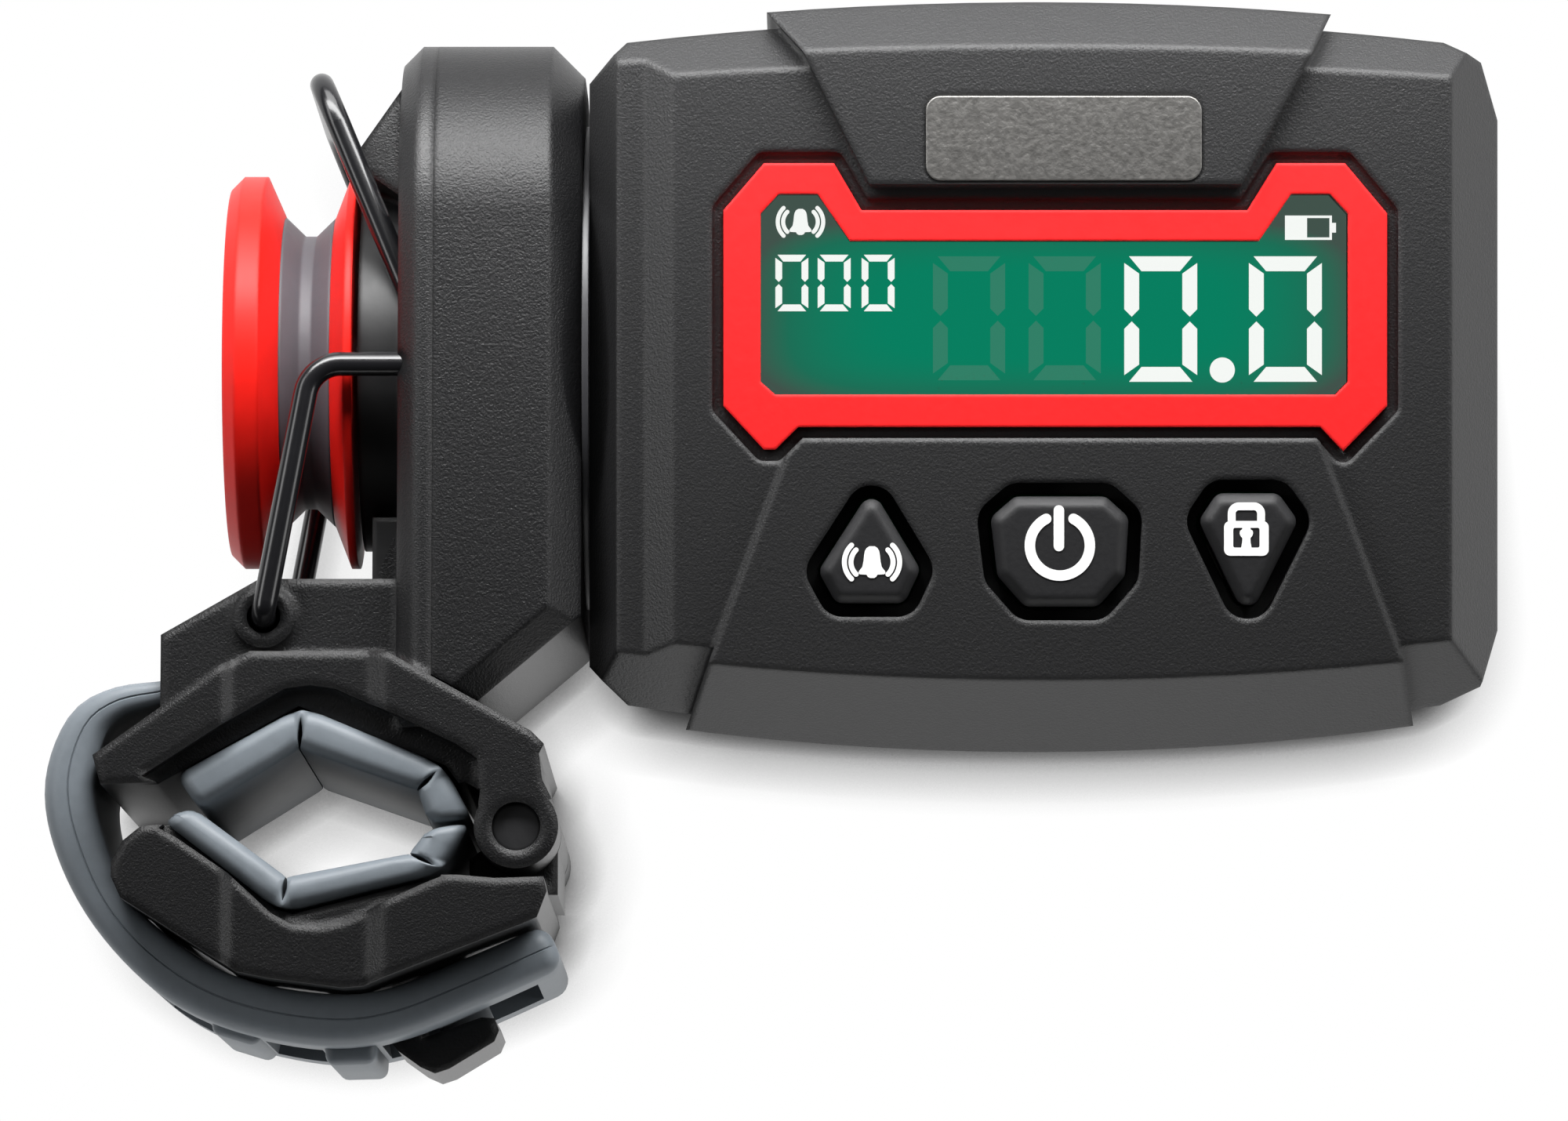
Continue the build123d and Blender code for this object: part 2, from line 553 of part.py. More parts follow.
def clamp_bracket():
    shell = pod_prism(POD_LEFT, POD_SEAM, 0, GRIP * saddle_foot_share)
    rim = shell.edges().filter_by(Axis.X, reverse=True).group_by(Axis.X)[0].sort_by(Axis.Z)[1:]
    shell = chamfer(rim, POD_LEFT_CHAMFER)
    shell -= pod_prism(POD_LEFT + POD_WALL, POD_RIGHT, POD_WALL, POD_CAVITY_FLOOR)
    saddle_left = GRIP * saddle_left_share
    saddle = scaled(saddle_foot_shares, GRIP, GRIP)
    saddle += [(saddle_left, SADDLE_TOP - SADDLE_SHOULDER), (GRIP * saddle_corner_share, SADDLE_TOP),
               (POD_SEAM, SADDLE_TOP)]
    body = shell + prism_xz(saddle, -SADDLE_HALF_DEPTH, SADDLE_HALF_DEPTH)
    body += jaw_arm()
    body += rod_x(BOSS_RADIUS, BOSS_LEFT, POD_LEFT, 0, WHEEL_Z)
    body += block(BOSS_LEFT + FOOT_INSET, POD_LEFT, -FOOT_HALF_DEPTH, FOOT_HALF_DEPTH, SADDLE_TOP - BOSS_WALL,
                  WHEEL_Z - BOSS_RADIUS + BOSS_WALL)
    guard_z = WHEEL_Z + FLANGE_RADIUS + GUARD_RISE
    guard = [(POD_SEAM, POD_TOP - GUARD_TOP), (POD_LEFT, POD_TOP - GUARD_TOP), (BOSS_LEFT, guard_z),
             (BOSS_LEFT, guard_z - GUARD_LIP), (POD_LEFT, guard_z - GUARD_LIP - GUARD_DROP),
             (POD_SEAM, guard_z - GUARD_LIP - GUARD_DROP)]
    reach = GUARD_HALF_DEPTH + GUARD_FLARE
    plan = [(POD_SEAM, -reach), (POD_LEFT, -reach), (BOSS_LEFT, -GUARD_HALF_DEPTH),
            (BOSS_LEFT, GUARD_HALF_DEPTH),
            (POD_LEFT, reach), (POD_SEAM, reach)]
    hood = prism_xz(guard, -POD_HALF_DEPTH, POD_HALF_DEPTH) & prism_xy(plan, WHEEL_Z, POD_TOP)
    body += hood - pod_prism(POD_LEFT + POD_WALL, POD_RIGHT, POD_WALL, POD_CAVITY_FLOOR)
    for side in (-1, 1):
        face = side * SADDLE_HALF_DEPTH
        y0, y1 = sorted((face - side * POD_WALL, face + side * EYELET_PROUD))
        body += rod_y(EYELET_OUTER_RADIUS, y0, y1, EYELET_X, EYELET_Z)
        y0, y1 = sorted((face - side * EYELET_DEPTH, face + side * OVERRUN))
        body -= rod_y(EYELET_HOLE_RADIUS, y0, y1, EYELET_X, EYELET_Z)
    body -= rod_x(BOSS_RADIUS - BOSS_WALL, BOSS_LEFT + BOSS_WALL, POD_SEAM, 0, WHEEL_Z)
    body += rod_x(BOSS_HUB_RADIUS, BOSS_LEFT, SENSOR_BOARD_LEFT + BOARD_THICKNESS, 0, WHEEL_Z)
    body -= rod_x(AXLE_RADIUS, BOSS_LEFT - OVERRUN, POD_SEAM, 0, WHEEL_Z)
    for y, z in pod_screw_places():
        body += rod_x(POD_SCREW_POST_RADIUS, POD_LEFT, POD_SEAM, y, z)
        body -= rod_x(POD_SCREW_RADIUS, POD_LEFT - OVERRUN, POD_RIGHT, y, z)
        body -= rod_x(POD_SCREW_HEAD_RADIUS, POD_LEFT - OVERRUN, POD_LEFT + POD_SCREW_HEAD_LENGTH, y, z)
    for side in (-1, 1):
        body -= rod_x(WIRE_RADIUS, POD_LEFT - OVERRUN, POD_LEFT + WIRE_SOCKET_DEPTH,
                      side * LOWER_WIRE_Y, LOWER_WIRE_Z)
        body -= lower_guide_wire(side, WIRE_RADIUS + RUN_GAP)
    body -= upper_guide_wire()
    tongue_x, tongue_z = GRIP * strap_tongue_shares[0], GRIP * strap_tongue_shares[1]
    tongue_y = STRAP_TONGUE_HALF_WIDTH + SEAT_GAP
    body -= rod_y(STRAP_BULB_RADIUS + SEAT_GAP, -tongue_y, tongue_y, tongue_x, tongue_z)
    slot_half = GRIP * strap_shares[0][2] / 2 + SEAT_GAP
    body -= block(saddle_left - OVERRUN, tongue_x, -tongue_y, tongue_y,
                  tongue_z - slot_half, tongue_z + slot_half)
    keep("clamp_bracket", body)


def pod_barrel():
    """Cup on the swivel's side of the pod, with its slanted foot."""
    barrel = pod_prism(POD_SEAM, POD_RIGHT, 0, 0)
    rim = barrel.edges().filter_by(Axis.X, reverse=True).group_by(Axis.X)[-1].sort_by(Axis.Z)[1:]
    barrel = chamfer(rim, POD_RIGHT_CHAMFER)
    foot_low = (GRIP * pod_foot_share[0], GRIP * pod_foot_share[1])
    foot_high = (POD_RIGHT, GRIP * pod_foot_right_share)
    slope = (foot_high[1] - foot_low[1]) / (foot_high[0] - foot_low[0])
    far_x = POD_RIGHT + OVERRUN
    cut = [(foot_low[0] - OVERRUN, foot_low[1] - OVERRUN * slope),
           (far_x, foot_low[1] + (far_x - foot_low[0]) * slope),
           (far_x, -OVERRUN), (foot_low[0] - OVERRUN, -OVERRUN)]
    barrel -= prism_xz(cut, -POD_HALF_DEPTH - OVERRUN, POD_HALF_DEPTH + OVERRUN)
    low, high = [(GRIP * x, GRIP * z) for x, z in jaw_slope_shares]
    jaw_slope = [(high[0], high[1] + SEAT_GAP), (low[0], low[1] + SEAT_GAP), (low[0], -OVERRUN),
                 (high[0], -OVERRUN)]
    barrel -= prism_xz(jaw_slope, -POD_HALF_DEPTH - OVERRUN, POD_HALF_DEPTH + OVERRUN)
    foot_edges = [edge for edge in barrel.edges()
                  if abs(abs(edge.center().Y) - POD_HALF_DEPTH) < RUN_GAP
                  and foot_low[0] < edge.center().X < POD_RIGHT and edge.center().Z < foot_high[1] + POD_WALL
                  and abs(edge.tangent_at(0).Y) < RUN_GAP and abs(edge.tangent_at(0).X) > RUN_GAP]
    barrel = soften(barrel, foot_edges, POD_BEVEL)
    barrel -= pod_prism(POD_SEAM - OVERRUN, POD_RIGHT - POD_WALL, POD_WALL, POD_CAVITY_FLOOR)
    posts = []
    for y, z in pod_screw_places():
        posts.append(rod_x(POD_SCREW_POST_RADIUS, POD_SEAM + GASKET_THICKNESS, POD_RIGHT - POD_WALL, y, z))
    for post in posts:
        barrel += post
    for y, z in pod_screw_places():
        depth = POD_LEFT + POD_SCREW_HEAD_LENGTH + POD_SCREW_LENGTH
        barrel -= rod_x(POD_SCREW_RADIUS, POD_SEAM - OVERRUN, depth, y, z)
    barrel -= rod_x(HUB_RADIUS + RUN_GAP, POD_SEAM, POD_RIGHT + OVERRUN, 0, SWIVEL_HEIGHT)
    seal_left = POD_RIGHT - POD_WALL / 2 - SEAL_LENGTH / 2
    barrel -= rod_x(SEAL_RADIUS, seal_left, seal_left + SEAL_LENGTH, 0, SWIVEL_HEIGHT)
    gasket_inset = POD_WALL - GASKET_WIDTH
    groove = pod_prism(POD_SEAM - OVERRUN, POD_SEAM + GASKET_THICKNESS, gasket_inset,
                       POD_CAVITY_FLOOR - gasket_inset)
    barrel -= groove
    keep("pod_barrel", barrel)
    gasket = pod_prism(POD_SEAM, POD_SEAM + GASKET_THICKNESS, gasket_inset, POD_CAVITY_FLOOR - gasket_inset)
    gasket -= pod_prism(POD_SEAM - OVERRUN, POD_SEAM + OVERRUN, POD_WALL, POD_CAVITY_FLOOR)
    keep("pod_gasket", gasket)
    keep("swivel_seal", ring_x(SEAL_RADIUS, HUB_RADIUS + RUN_GAP, seal_left, seal_left + SEAL_LENGTH, 0,
                               SWIVEL_HEIGHT))


def screw_x(radius, head_radius, head_length, length, x, y, z, socket=0):
    """Screw along +X with its head's outer face at x."""
    body = rod_x(head_radius, x, x + head_length, y, z) + rod_x(radius, x, x + head_length + length, y, z)
    if socket:
        hexagon = Pos(x - OVERRUN, y, z) * Rot(0, 90, 0) * extrude(RegularPolygon(socket, 6),
                                                                   OVERRUN + head_length / 2)
        body -= hexagon
    return body


def screw_y(radius, head_radius, head_length, length, x, y, z, into=-1):
    """Screw along Y whose head's outer face is at y, with its tip on the side that into gives."""
    ends = sorted((y, y + into * head_length))
    body = rod_y(head_radius, ends[0], ends[1], x, z)
    ends = sorted((y, y + into * (head_length + length)))
    body += rod_y(radius, ends[0], ends[1], x, z)
    slot = head_length / 2
    ends = sorted((y - into * OVERRUN, y + into * slot))
    half = radius * slot_share
    return body - block(x - head_radius, x + head_radius, ends[0], ends[1], z - half, z + half)


def pod_screws():
    screws = [screw_x(POD_SCREW_RADIUS, POD_SCREW_HEAD_RADIUS, POD_SCREW_HEAD_LENGTH,
                      POD_SCREW_LENGTH - SEAT_GAP, POD_LEFT, y, z, POD_SCREW_SOCKET_RADIUS)
              for y, z in pod_screw_places()]
    keep("pod_screws", *screws)


def lower_jaw():
    points = jaw_lower_outer_shares + jaw_lower_seat_shares + jaw_lower_base_shares
    jaw = prism_xz(scaled(points, GRIP, GRIP), -JAW_HALF_DEPTH, JAW_HALF_DEPTH)
    jaw -= lip_cut(lip_lower_shares)
    jaw -= face_recess(-2, 0)
    web_low = GRIP * jaw_lower_seat_shares[-1][1] - JAW_EDGE
    jaw += block(HINGE_X - KNUCKLE_WEB_HALF, HINGE_X + KNUCKLE_WEB_HALF, -KNUCKLE_HALF_DEPTH,
                 KNUCKLE_HALF_DEPTH, web_low, HINGE_Z)
    jaw += prism_xz(scaled(web_shares, GRIP, GRIP), -KNUCKLE_HALF_DEPTH, KNUCKLE_HALF_DEPTH)
    jaw += rod_y(HINGE_BOSS_RADIUS, -KNUCKLE_HALF_DEPTH, KNUCKLE_HALF_DEPTH, HINGE_X, HINGE_Z)
    jaw -= rod_y(HINGE_PIN_RADIUS + RUN_GAP, -JAW_HALF_DEPTH, JAW_HALF_DEPTH, HINGE_X, HINGE_Z)
    jaw += prism_xz(scaled(hook_shares, GRIP, GRIP), -HOOK_HALF_WIDTH, HOOK_HALF_WIDTH)
    keep("lower_jaw", jaw)
    pin_half = JAW_HALF_DEPTH - HINGE_PIN_SET_BACK
    keep("hinge_pin", rod_y(HINGE_PIN_RADIUS, -pin_half, pin_half, HINGE_X, HINGE_Z))


def strap():
    """Rubber ladder strap, from its bulb in the bracket round to its slotted end."""
    middle = Spline(*[(GRIP * x, 0, GRIP * z) for x, z, t in strap_shares])
    outer, inner = [], []
    last = len(strap_shares) - 1
    for index, (x, z, thickness) in enumerate(strap_shares):
        along = middle.tangent_at(middle.param_at_point(Vector(GRIP * x, 0, GRIP * z)))
        side = Vector(along.Z, 0, -along.X) * (GRIP * thickness / 2)
        point = Vector(GRIP * x, 0, GRIP * z)
        outer.append(point + side)
        inner.append(point - side)
    edges = [Spline(*outer), Line(outer[last], inner[last]), Spline(*reversed(inner)),
             Line(inner[0], outer[0])]
    band = Pos(0, -STRAP_HALF_WIDTH, 0) * extrude(make_face(edges), amount=2 * STRAP_HALF_WIDTH,
                                                  dir=(0, 1, 0))
    tongue_x, tongue_z = GRIP * strap_tongue_shares[0], GRIP * strap_tongue_shares[1]
    half = GRIP * strap_shares[0][2] / 2
    start = GRIP * strap_shares[1][0]
    band -= block(GRIP * saddle_left_share - SEAT_GAP, 0, -STRAP_HALF_WIDTH - OVERRUN,
                  STRAP_HALF_WIDTH + OVERRUN,
                  0, GRIP)
    band += block(GRIP * saddle_left_share - NOTCH_HALF * 2, tongue_x, -STRAP_TONGUE_HALF_WIDTH,
                  STRAP_TONGUE_HALF_WIDTH, tongue_z - half, tongue_z + half)
    band += rod_y(STRAP_BULB_RADIUS, -STRAP_TONGUE_HALF_WIDTH, STRAP_TONGUE_HALF_WIDTH, tongue_x, tongue_z)
    length = middle.length
    for index in range(STRAP_SLOT_COUNT):
        place = length - STRAP_END_MARGIN - index * STRAP_SLOT_PITCH
        at = middle.position_at(place, PositionMode.LENGTH)
        along = middle.tangent_at(place, PositionMode.LENGTH)
        frame = Plane(origin=at, x_dir=along, z_dir=Vector(along.Z, 0, -along.X))
        slot = Box(STRAP_SLOT_LENGTH, 2 * STRAP_SLOT_HALF_WIDTH, 2 * OVERRUN)
        lug_place = place - STRAP_SLOT_PITCH / 2
        at = middle.position_at(lug_place, PositionMode.LENGTH)
        along = middle.tangent_at(lug_place, PositionMode.LENGTH)
        lug_frame = Plane(origin=at, x_dir=along, z_dir=Vector(along.Z, 0, -along.X))
        lug_length = STRAP_SLOT_PITCH - STRAP_SLOT_LENGTH
        thick = GRIP * strap_shares[-1][2] / 2 + STRAP_LUG_HEIGHT / max(index, 1)
        lug = Box(lug_length, 2 * STRAP_LUG_HALF_WIDTH, thick,
                  align=(Align.CENTER, Align.CENTER, Align.MIN))
        if 0 < index <= STRAP_LUG_COUNT:
            band += lug_frame.location * lug
        band -= frame.location * slot
    keep("rubber_strap", band)


def measuring_wheel():
    left_rim = WHEEL_LEFT + RIM_BEVEL
    shoulder = TYRE_SHOULDER_RADIUS
    outer = [(WHEEL_LEFT + WHEEL_FACE_DISH, WHEEL_HUB_RADIUS + RIM_BEVEL),
             (WHEEL_LEFT, WHEEL_HUB_RADIUS + 2 * RIM_BEVEL),
             (WHEEL_LEFT, FLANGE_RADIUS - RIM_BEVEL), (left_rim, FLANGE_RADIUS),
             (-TYRE_HALF_WIDTH - RIM_CONE, FLANGE_RADIUS), (-TYRE_HALF_WIDTH, shoulder),
             (-TYRE_HALF_WIDTH, TYRE_SEAT_RADIUS), (0, TYRE_SEAT_RADIUS), (0, BUSH_RADIUS),
             (WHEEL_LEFT + WHEEL_FACE_DISH, BUSH_RADIUS)]
    flange = turned(outer, WHEEL_Z)
    flange -= rod_x(HUB_CAP_RADIUS, WHEEL_LEFT - OVERRUN, WHEEL_LEFT + WHEEL_FACE_DISH
                    + HUB_CAP_THICKNESS, 0, WHEEL_Z)
    tyre = [(-TYRE_HALF_WIDTH, TYRE_SEAT_RADIUS), (-TYRE_HALF_WIDTH, shoulder),
            (-TYRE_ROOT_HALF_WIDTH, TYRE_ROOT_RADIUS), (TYRE_ROOT_HALF_WIDTH, TYRE_ROOT_RADIUS),
            (TYRE_HALF_WIDTH, shoulder), (TYRE_HALF_WIDTH, TYRE_SEAT_RADIUS)]
    inner = [(0, BUSH_RADIUS), (0, TYRE_SEAT_RADIUS), (TYRE_HALF_WIDTH, TYRE_SEAT_RADIUS),
             (TYRE_HALF_WIDTH, shoulder), (WHEEL_RIGHT - INNER_RIM, FLANGE_RADIUS),
             (WHEEL_RIGHT, FLANGE_RADIUS), (WHEEL_RIGHT, BUSH_RADIUS)]
    back = turned(inner, WHEEL_Z)
    magnets = []
    for index in range(MAGNET_COUNT):
        angle = 2 * pi * index / MAGNET_COUNT + pi / 2
        y, z = MAGNET_CIRCLE * cos(angle), WHEEL_Z + MAGNET_CIRCLE * sin(angle)
        magnets.append(rod_x(MAGNET_RADIUS, WHEEL_RIGHT - MAGNET_LENGTH, WHEEL_RIGHT, y, z))
        back -= magnets[-1]
    screws = []
    head_x = WHEEL_LEFT + RIM_BEVEL
    for index in range(WHEEL_SCREW_COUNT):
        angle = 2 * pi * index / WHEEL_SCREW_COUNT
        y, z = MAGNET_CIRCLE * cos(angle), WHEEL_Z + MAGNET_CIRCLE * sin(angle)
        screws.append(screw_x(WHEEL_SCREW_RADIUS, WHEEL_SCREW_HEAD_RADIUS, WHEEL_SCREW_HEAD_LENGTH,
                              WHEEL_SCREW_LENGTH, head_x, y, z, WHEEL_SCREW_RADIUS))
        tool = rod_x(WHEEL_SCREW_HEAD_RADIUS, WHEEL_LEFT - OVERRUN, head_x + WHEEL_SCREW_HEAD_LENGTH, y, z)
        tool += rod_x(WHEEL_SCREW_RADIUS, WHEEL_LEFT, head_x + WHEEL_SCREW_HEAD_LENGTH
                      + WHEEL_SCREW_LENGTH, y, z)
        flange -= tool
        back -= tool
    keep("wheel_outer_flange", flange)
    keep("wheel_inner_flange", back)
    keep("wheel_tyre", turned(tyre, WHEEL_Z))
    keep("wheel_magnets", *magnets)
    keep("wheel_screws", *screws)
    bush_left = WHEEL_LEFT + WHEEL_FACE_DISH + HUB_CAP_THICKNESS
    bushes = []
    middle = (bush_left + WHEEL_RIGHT) / 2
    bushes.append(ring_x(BUSH_RADIUS, AXLE_RADIUS + RUN_GAP, bush_left, middle - SEAT_GAP, 0, WHEEL_Z))
    bushes.append(ring_x(BUSH_RADIUS, AXLE_RADIUS + RUN_GAP, middle + SEAT_GAP, WHEEL_RIGHT, 0, WHEEL_Z))
    keep("wheel_bushes", *bushes)
    clip_x = bush_left - RUN_GAP - CLIP_THICKNESS
    axle = rod_x(AXLE_RADIUS, clip_x - RUN_GAP, SENSOR_BOARD_LEFT + BOARD_THICKNESS, 0, WHEEL_Z)
    axle += rod_x(AXLE_HEAD_RADIUS, SENSOR_BOARD_LEFT + BOARD_THICKNESS,
                  SENSOR_BOARD_LEFT + BOARD_THICKNESS + AXLE_HEAD_LENGTH, 0, WHEEL_Z)
    keep("wheel_axle", axle)
    keep("axle_clip", ring_x(CLIP_RADIUS, AXLE_RADIUS, clip_x, clip_x + CLIP_THICKNESS, 0, WHEEL_Z))
    keep("thrust_washer", ring_x(BUSH_FLANGE_RADIUS, AXLE_RADIUS, WHEEL_RIGHT + RUN_GAP, BOSS_LEFT, 0,
                                 WHEEL_Z))
    cap_right = clip_x - SEAT_GAP
    keep("hub_cap", rod_x(HUB_CAP_RADIUS, cap_right - HUB_CAP_THICKNESS, cap_right, 0, WHEEL_Z))


def sensor_board():
    right = SENSOR_BOARD_LEFT + BOARD_THICKNESS
    board = ring_x(BOSS_RADIUS - BOSS_WALL - SEAT_GAP, BOSS_HUB_RADIUS, SENSOR_BOARD_LEFT, right, 0,
                   WHEEL_Z)
    keep("sensor_board", board)
    sensors = []
    for side in (-1, 1):
        angle = pi / 2 + radians(side * SENSOR_SPREAD)
        y, z = MAGNET_CIRCLE * cos(angle), WHEEL_Z + MAGNET_CIRCLE * sin(angle)
        sensors.append(block(SENSOR_BOARD_LEFT - SENSOR_HEIGHT, SENSOR_BOARD_LEFT,
                             y - SENSOR_WIDTH / 2 * cos(0),
                             y + SENSOR_WIDTH / 2, z - SENSOR_LENGTH / 2, z + SENSOR_LENGTH / 2))
    connector_y = HUB_BORE_RADIUS
    connector = block(right, right + AXLE_HEAD_LENGTH, -connector_y, connector_y,
                      WHEEL_Z + BOSS_HUB_RADIUS, WHEEL_Z + BOSS_HUB_RADIUS + SENSOR_WIDTH)
    keep("hall_sensors", *sensors)
    keep("sensor_connector", connector)


def upper_guide_wire():
    """Bent wire whose legs run straight into the pod's left wall."""
    slope = (UPPER_WIRE_TOP_Z - UPPER_WIRE_ROOT_Z) / (POD_LEFT - UPPER_WIRE_TOP_X)
    root_x = POD_LEFT + WIRE_SOCKET_DEPTH
    root_z = UPPER_WIRE_ROOT_Z - slope * WIRE_SOCKET_DEPTH
    points = [(root_x, -UPPER_WIRE_Y, root_z), (UPPER_WIRE_TOP_X, -UPPER_WIRE_Y, UPPER_WIRE_TOP_Z),
              (UPPER_WIRE_TOP_X, UPPER_WIRE_Y, UPPER_WIRE_TOP_Z), (root_x, UPPER_WIRE_Y, root_z)]
    return wire_tube(points, WIRE_RADIUS, UPPER_WIRE_BEND_RADIUS)


def lower_guide_wire(side, radius):
    """Bent wire from the pod's left wall down into its eyelet."""
    y = side * LOWER_WIRE_Y
    tail = side * (SADDLE_HALF_DEPTH - WIRE_TAIL)
    points = [(POD_LEFT + WIRE_SOCKET_DEPTH, y, LOWER_WIRE_Z), (LOWER_WIRE_BEND_X, y, LOWER_WIRE_Z),
              (EYELET_X, y, EYELET_Z), (EYELET_X, tail, EYELET_Z)]
    return wire_tube(points, radius, [WIRE_BEND_RADIUS, WIRE_RADIUS + 2 * RUN_GAP])


def guide_wires():
    keep("lower_guide_wires", *[lower_guide_wire(side, WIRE_RADIUS) for side in (-1, 1)])
    keep("upper_guide_wire", upper_guide_wire())


def swivel():
    wall = POD_RIGHT - POD_WALL
    left = wall - DETENT_SPRING_THICKNESS - RETAINER_THICKNESS
    flange_left = HEAD_LEFT + HEAD_WALL
    hub = rod_x(HUB_RADIUS, left, flange_left + HUB_FLANGE_THICKNESS)
    hub += rod_x(HUB_FLANGE_RADIUS, flange_left, flange_left + HUB_FLANGE_THICKNESS)
    hub -= rod_x(HUB_BORE_RADIUS, left - OVERRUN, flange_left + OVERRUN)
    keep("swivel_hub", fix_head(hub))
    disc = ring_x(SWIVEL_DISC_RADIUS, HUB_RADIUS, POD_RIGHT + RUN_GAP, HEAD_LEFT)
    keep("swivel_washer", fix_head(disc))
    spring_right = wall - RUN_GAP
    spring_left = spring_right - DETENT_SPRING_THICKNESS + 2 * RUN_GAP
    spring = ring_x(RETAINER_RADIUS, HUB_RADIUS + RUN_GAP, spring_left, spring_right, 0, SWIVEL_HEIGHT)
    keep("detent_spring", spring)
    keep("swivel_retainer", fix_head(ring_x(RETAINER_RADIUS, HUB_RADIUS, left, spring_left - RUN_GAP)))
    start = SENSOR_BOARD_LEFT + BOARD_THICKNESS + AXLE_HEAD_LENGTH + POD_WALL
    turn_x = BOARD_LEFT + CABLE_BEND_RADIUS
    path = [(start, 0, 0), (turn_x, 0, 0), (turn_x, -BOARD_FRONT + BOARD_THICKNESS, 0)]
    keep("sensor_cable", fix_head(wire_tube(path, CABLE_RADIUS, CABLE_BEND_RADIUS)))


# The head, in its own frame with the swivel axis as X
def bow(z, drop, left, right, y):
    """Arc across the head that is lower, or higher, by a drop at its ends."""
    return ThreePointArc((left, y, z - drop), (HEAD_MIDDLE, y, z), (right, y, z - drop))


def head_silhouette(inset=0, grow=0):
    """Front outline of the head with its gently bowed top and bottom."""
    left, right = HEAD_LEFT + inset, HEAD_RIGHT - inset
    top, bottom = HEAD_TOP - inset + grow, HEAD_BOTTOM + inset - grow
    cut, wide = CORNER_CUT, CORNER_CUT_RIGHT
    low_top, high_bottom = top - TOP_BOW, bottom + BOTTOM_BOW
    upper = bow(top, TOP_BOW, left + cut, right - wide, 0)
    lower = bow(bottom, -BOTTOM_BOW, left + cut, right - wide, 0)
    soft = wide * soft_share
    tall = wide * tall_share
    corner_right = Polyline((right - wide, 0, low_top), (right - soft, 0, low_top - soft),
                            (right, 0, low_top - tall), (right, 0, high_bottom + tall),
                            (right - soft, 0, high_bottom + soft),
                            (right - wide, 0, high_bottom))
    corner_left = Polyline((left + cut, 0, high_bottom), (left, 0, high_bottom + cut),
                           (left, 0, low_top - cut),
                           (left + cut, 0, low_top))
    return make_face([upper, corner_right, lower, corner_left])


def head_bevel(crease, drop, side, lean, y):
    """Everything behind the leaning bowed surface that starts at a crease of the face."""
    left, right = HEAD_LEFT - OVERRUN, HEAD_RIGHT + OVERRUN
    depth = 2 * (HEAD_FRONT + HEAD_BACK)
    far = crease - side * (HEAD_TOP - HEAD_BOTTOM + depth)
    top = bow(crease, side * drop, left, right, y)
    rest = Polyline((right, y, crease - side * drop), (right, y, far), (left, y, far),
                    (left, y, crease - side * drop))
    return extrude(make_face([top, rest]), amount=depth, dir=(0, cos(lean), side * sin(lean)))


def head_side(inset=0):
    """Side outline of the head's rear, as points of depth and height."""
    back = HEAD_BACK - inset
    front = -HEAD_FRONT - OVERRUN
    top, bottom = HEAD_TOP + BAND_PROUD - inset, HEAD_BOTTOM - BAND_PROUD + inset
    return [(front, top), (back - BACK_CHAMFER, top), (back, top - BACK_CHAMFER),
            (back, bottom + BACK_CHAMFER),
            (back - BACK_CHAMFER, bottom), (front, bottom)]


def head_plan(inset=0, grow=0):
    """Top outline of the head, as points of width and depth."""
    left, right = HEAD_LEFT + inset, HEAD_RIGHT - inset
    front, back = -HEAD_FRONT + inset - grow, HEAD_BACK - inset
    rim = front + RIM_SET_BACK
    return [(left, rim + LEFT_CHAMFER_DEPTH), (left + CORNER_CUT - JAW_EDGE, rim),
            (RIM_INNER_X + inset / 2, rim),
            (FACE_LEFT + inset / 2, front), (FACE_RIGHT - inset / 2, front), (right,
                                                                              front + RIGHT_CHAMFER_DEPTH),
            (right, back - BACK_CHAMFER), (right - BACK_CHAMFER, back), (left + BACK_CHAMFER, back),
            (left, back - BACK_CHAMFER)]


def head_form(inset=0, grow=0):
    reach = HEAD_FRONT + OVERRUN
    front = -HEAD_FRONT + inset - grow
    body = Pos(0, -reach, 0) * extrude(head_silhouette(inset, grow), amount=2 * reach, dir=(0, 1, 0))
    body &= prism_yz(head_side(inset), HEAD_LEFT - OVERRUN, HEAD_RIGHT + OVERRUN)
    body &= head_bevel(FACE_TOP - inset / 2 + grow, TOP_BOW, 1, radians(TOP_LEAN), front)
    body &= head_bevel(FACE_BOTTOM + inset / 2 - grow, CREASE_BOW, -1, radians(BOTTOM_LEAN), front)
    return body & prism_xy(head_plan(inset, grow), HEAD_BOTTOM - OVERRUN, HEAD_TOP + OVERRUN)


# Sides of the raised band, as offsets from the bezel's centre and heights: at its crease and far past its edge
BAND_TOP_SIDES = ((-21.8, 26.3), (-15.6, 19.2), (15.9, 19.2), (19.6, 26.3))
BAND_LOWER_SIDES = ((-21.3, -18.2), (-25.0, -29.0), (24.0, -29.0), (21.4, -18.2))
band_top_share = 0.56
band_lower_share = 0.78
band_reach_share = 0.85     # of the bezel's half height, that the band runs on behind it


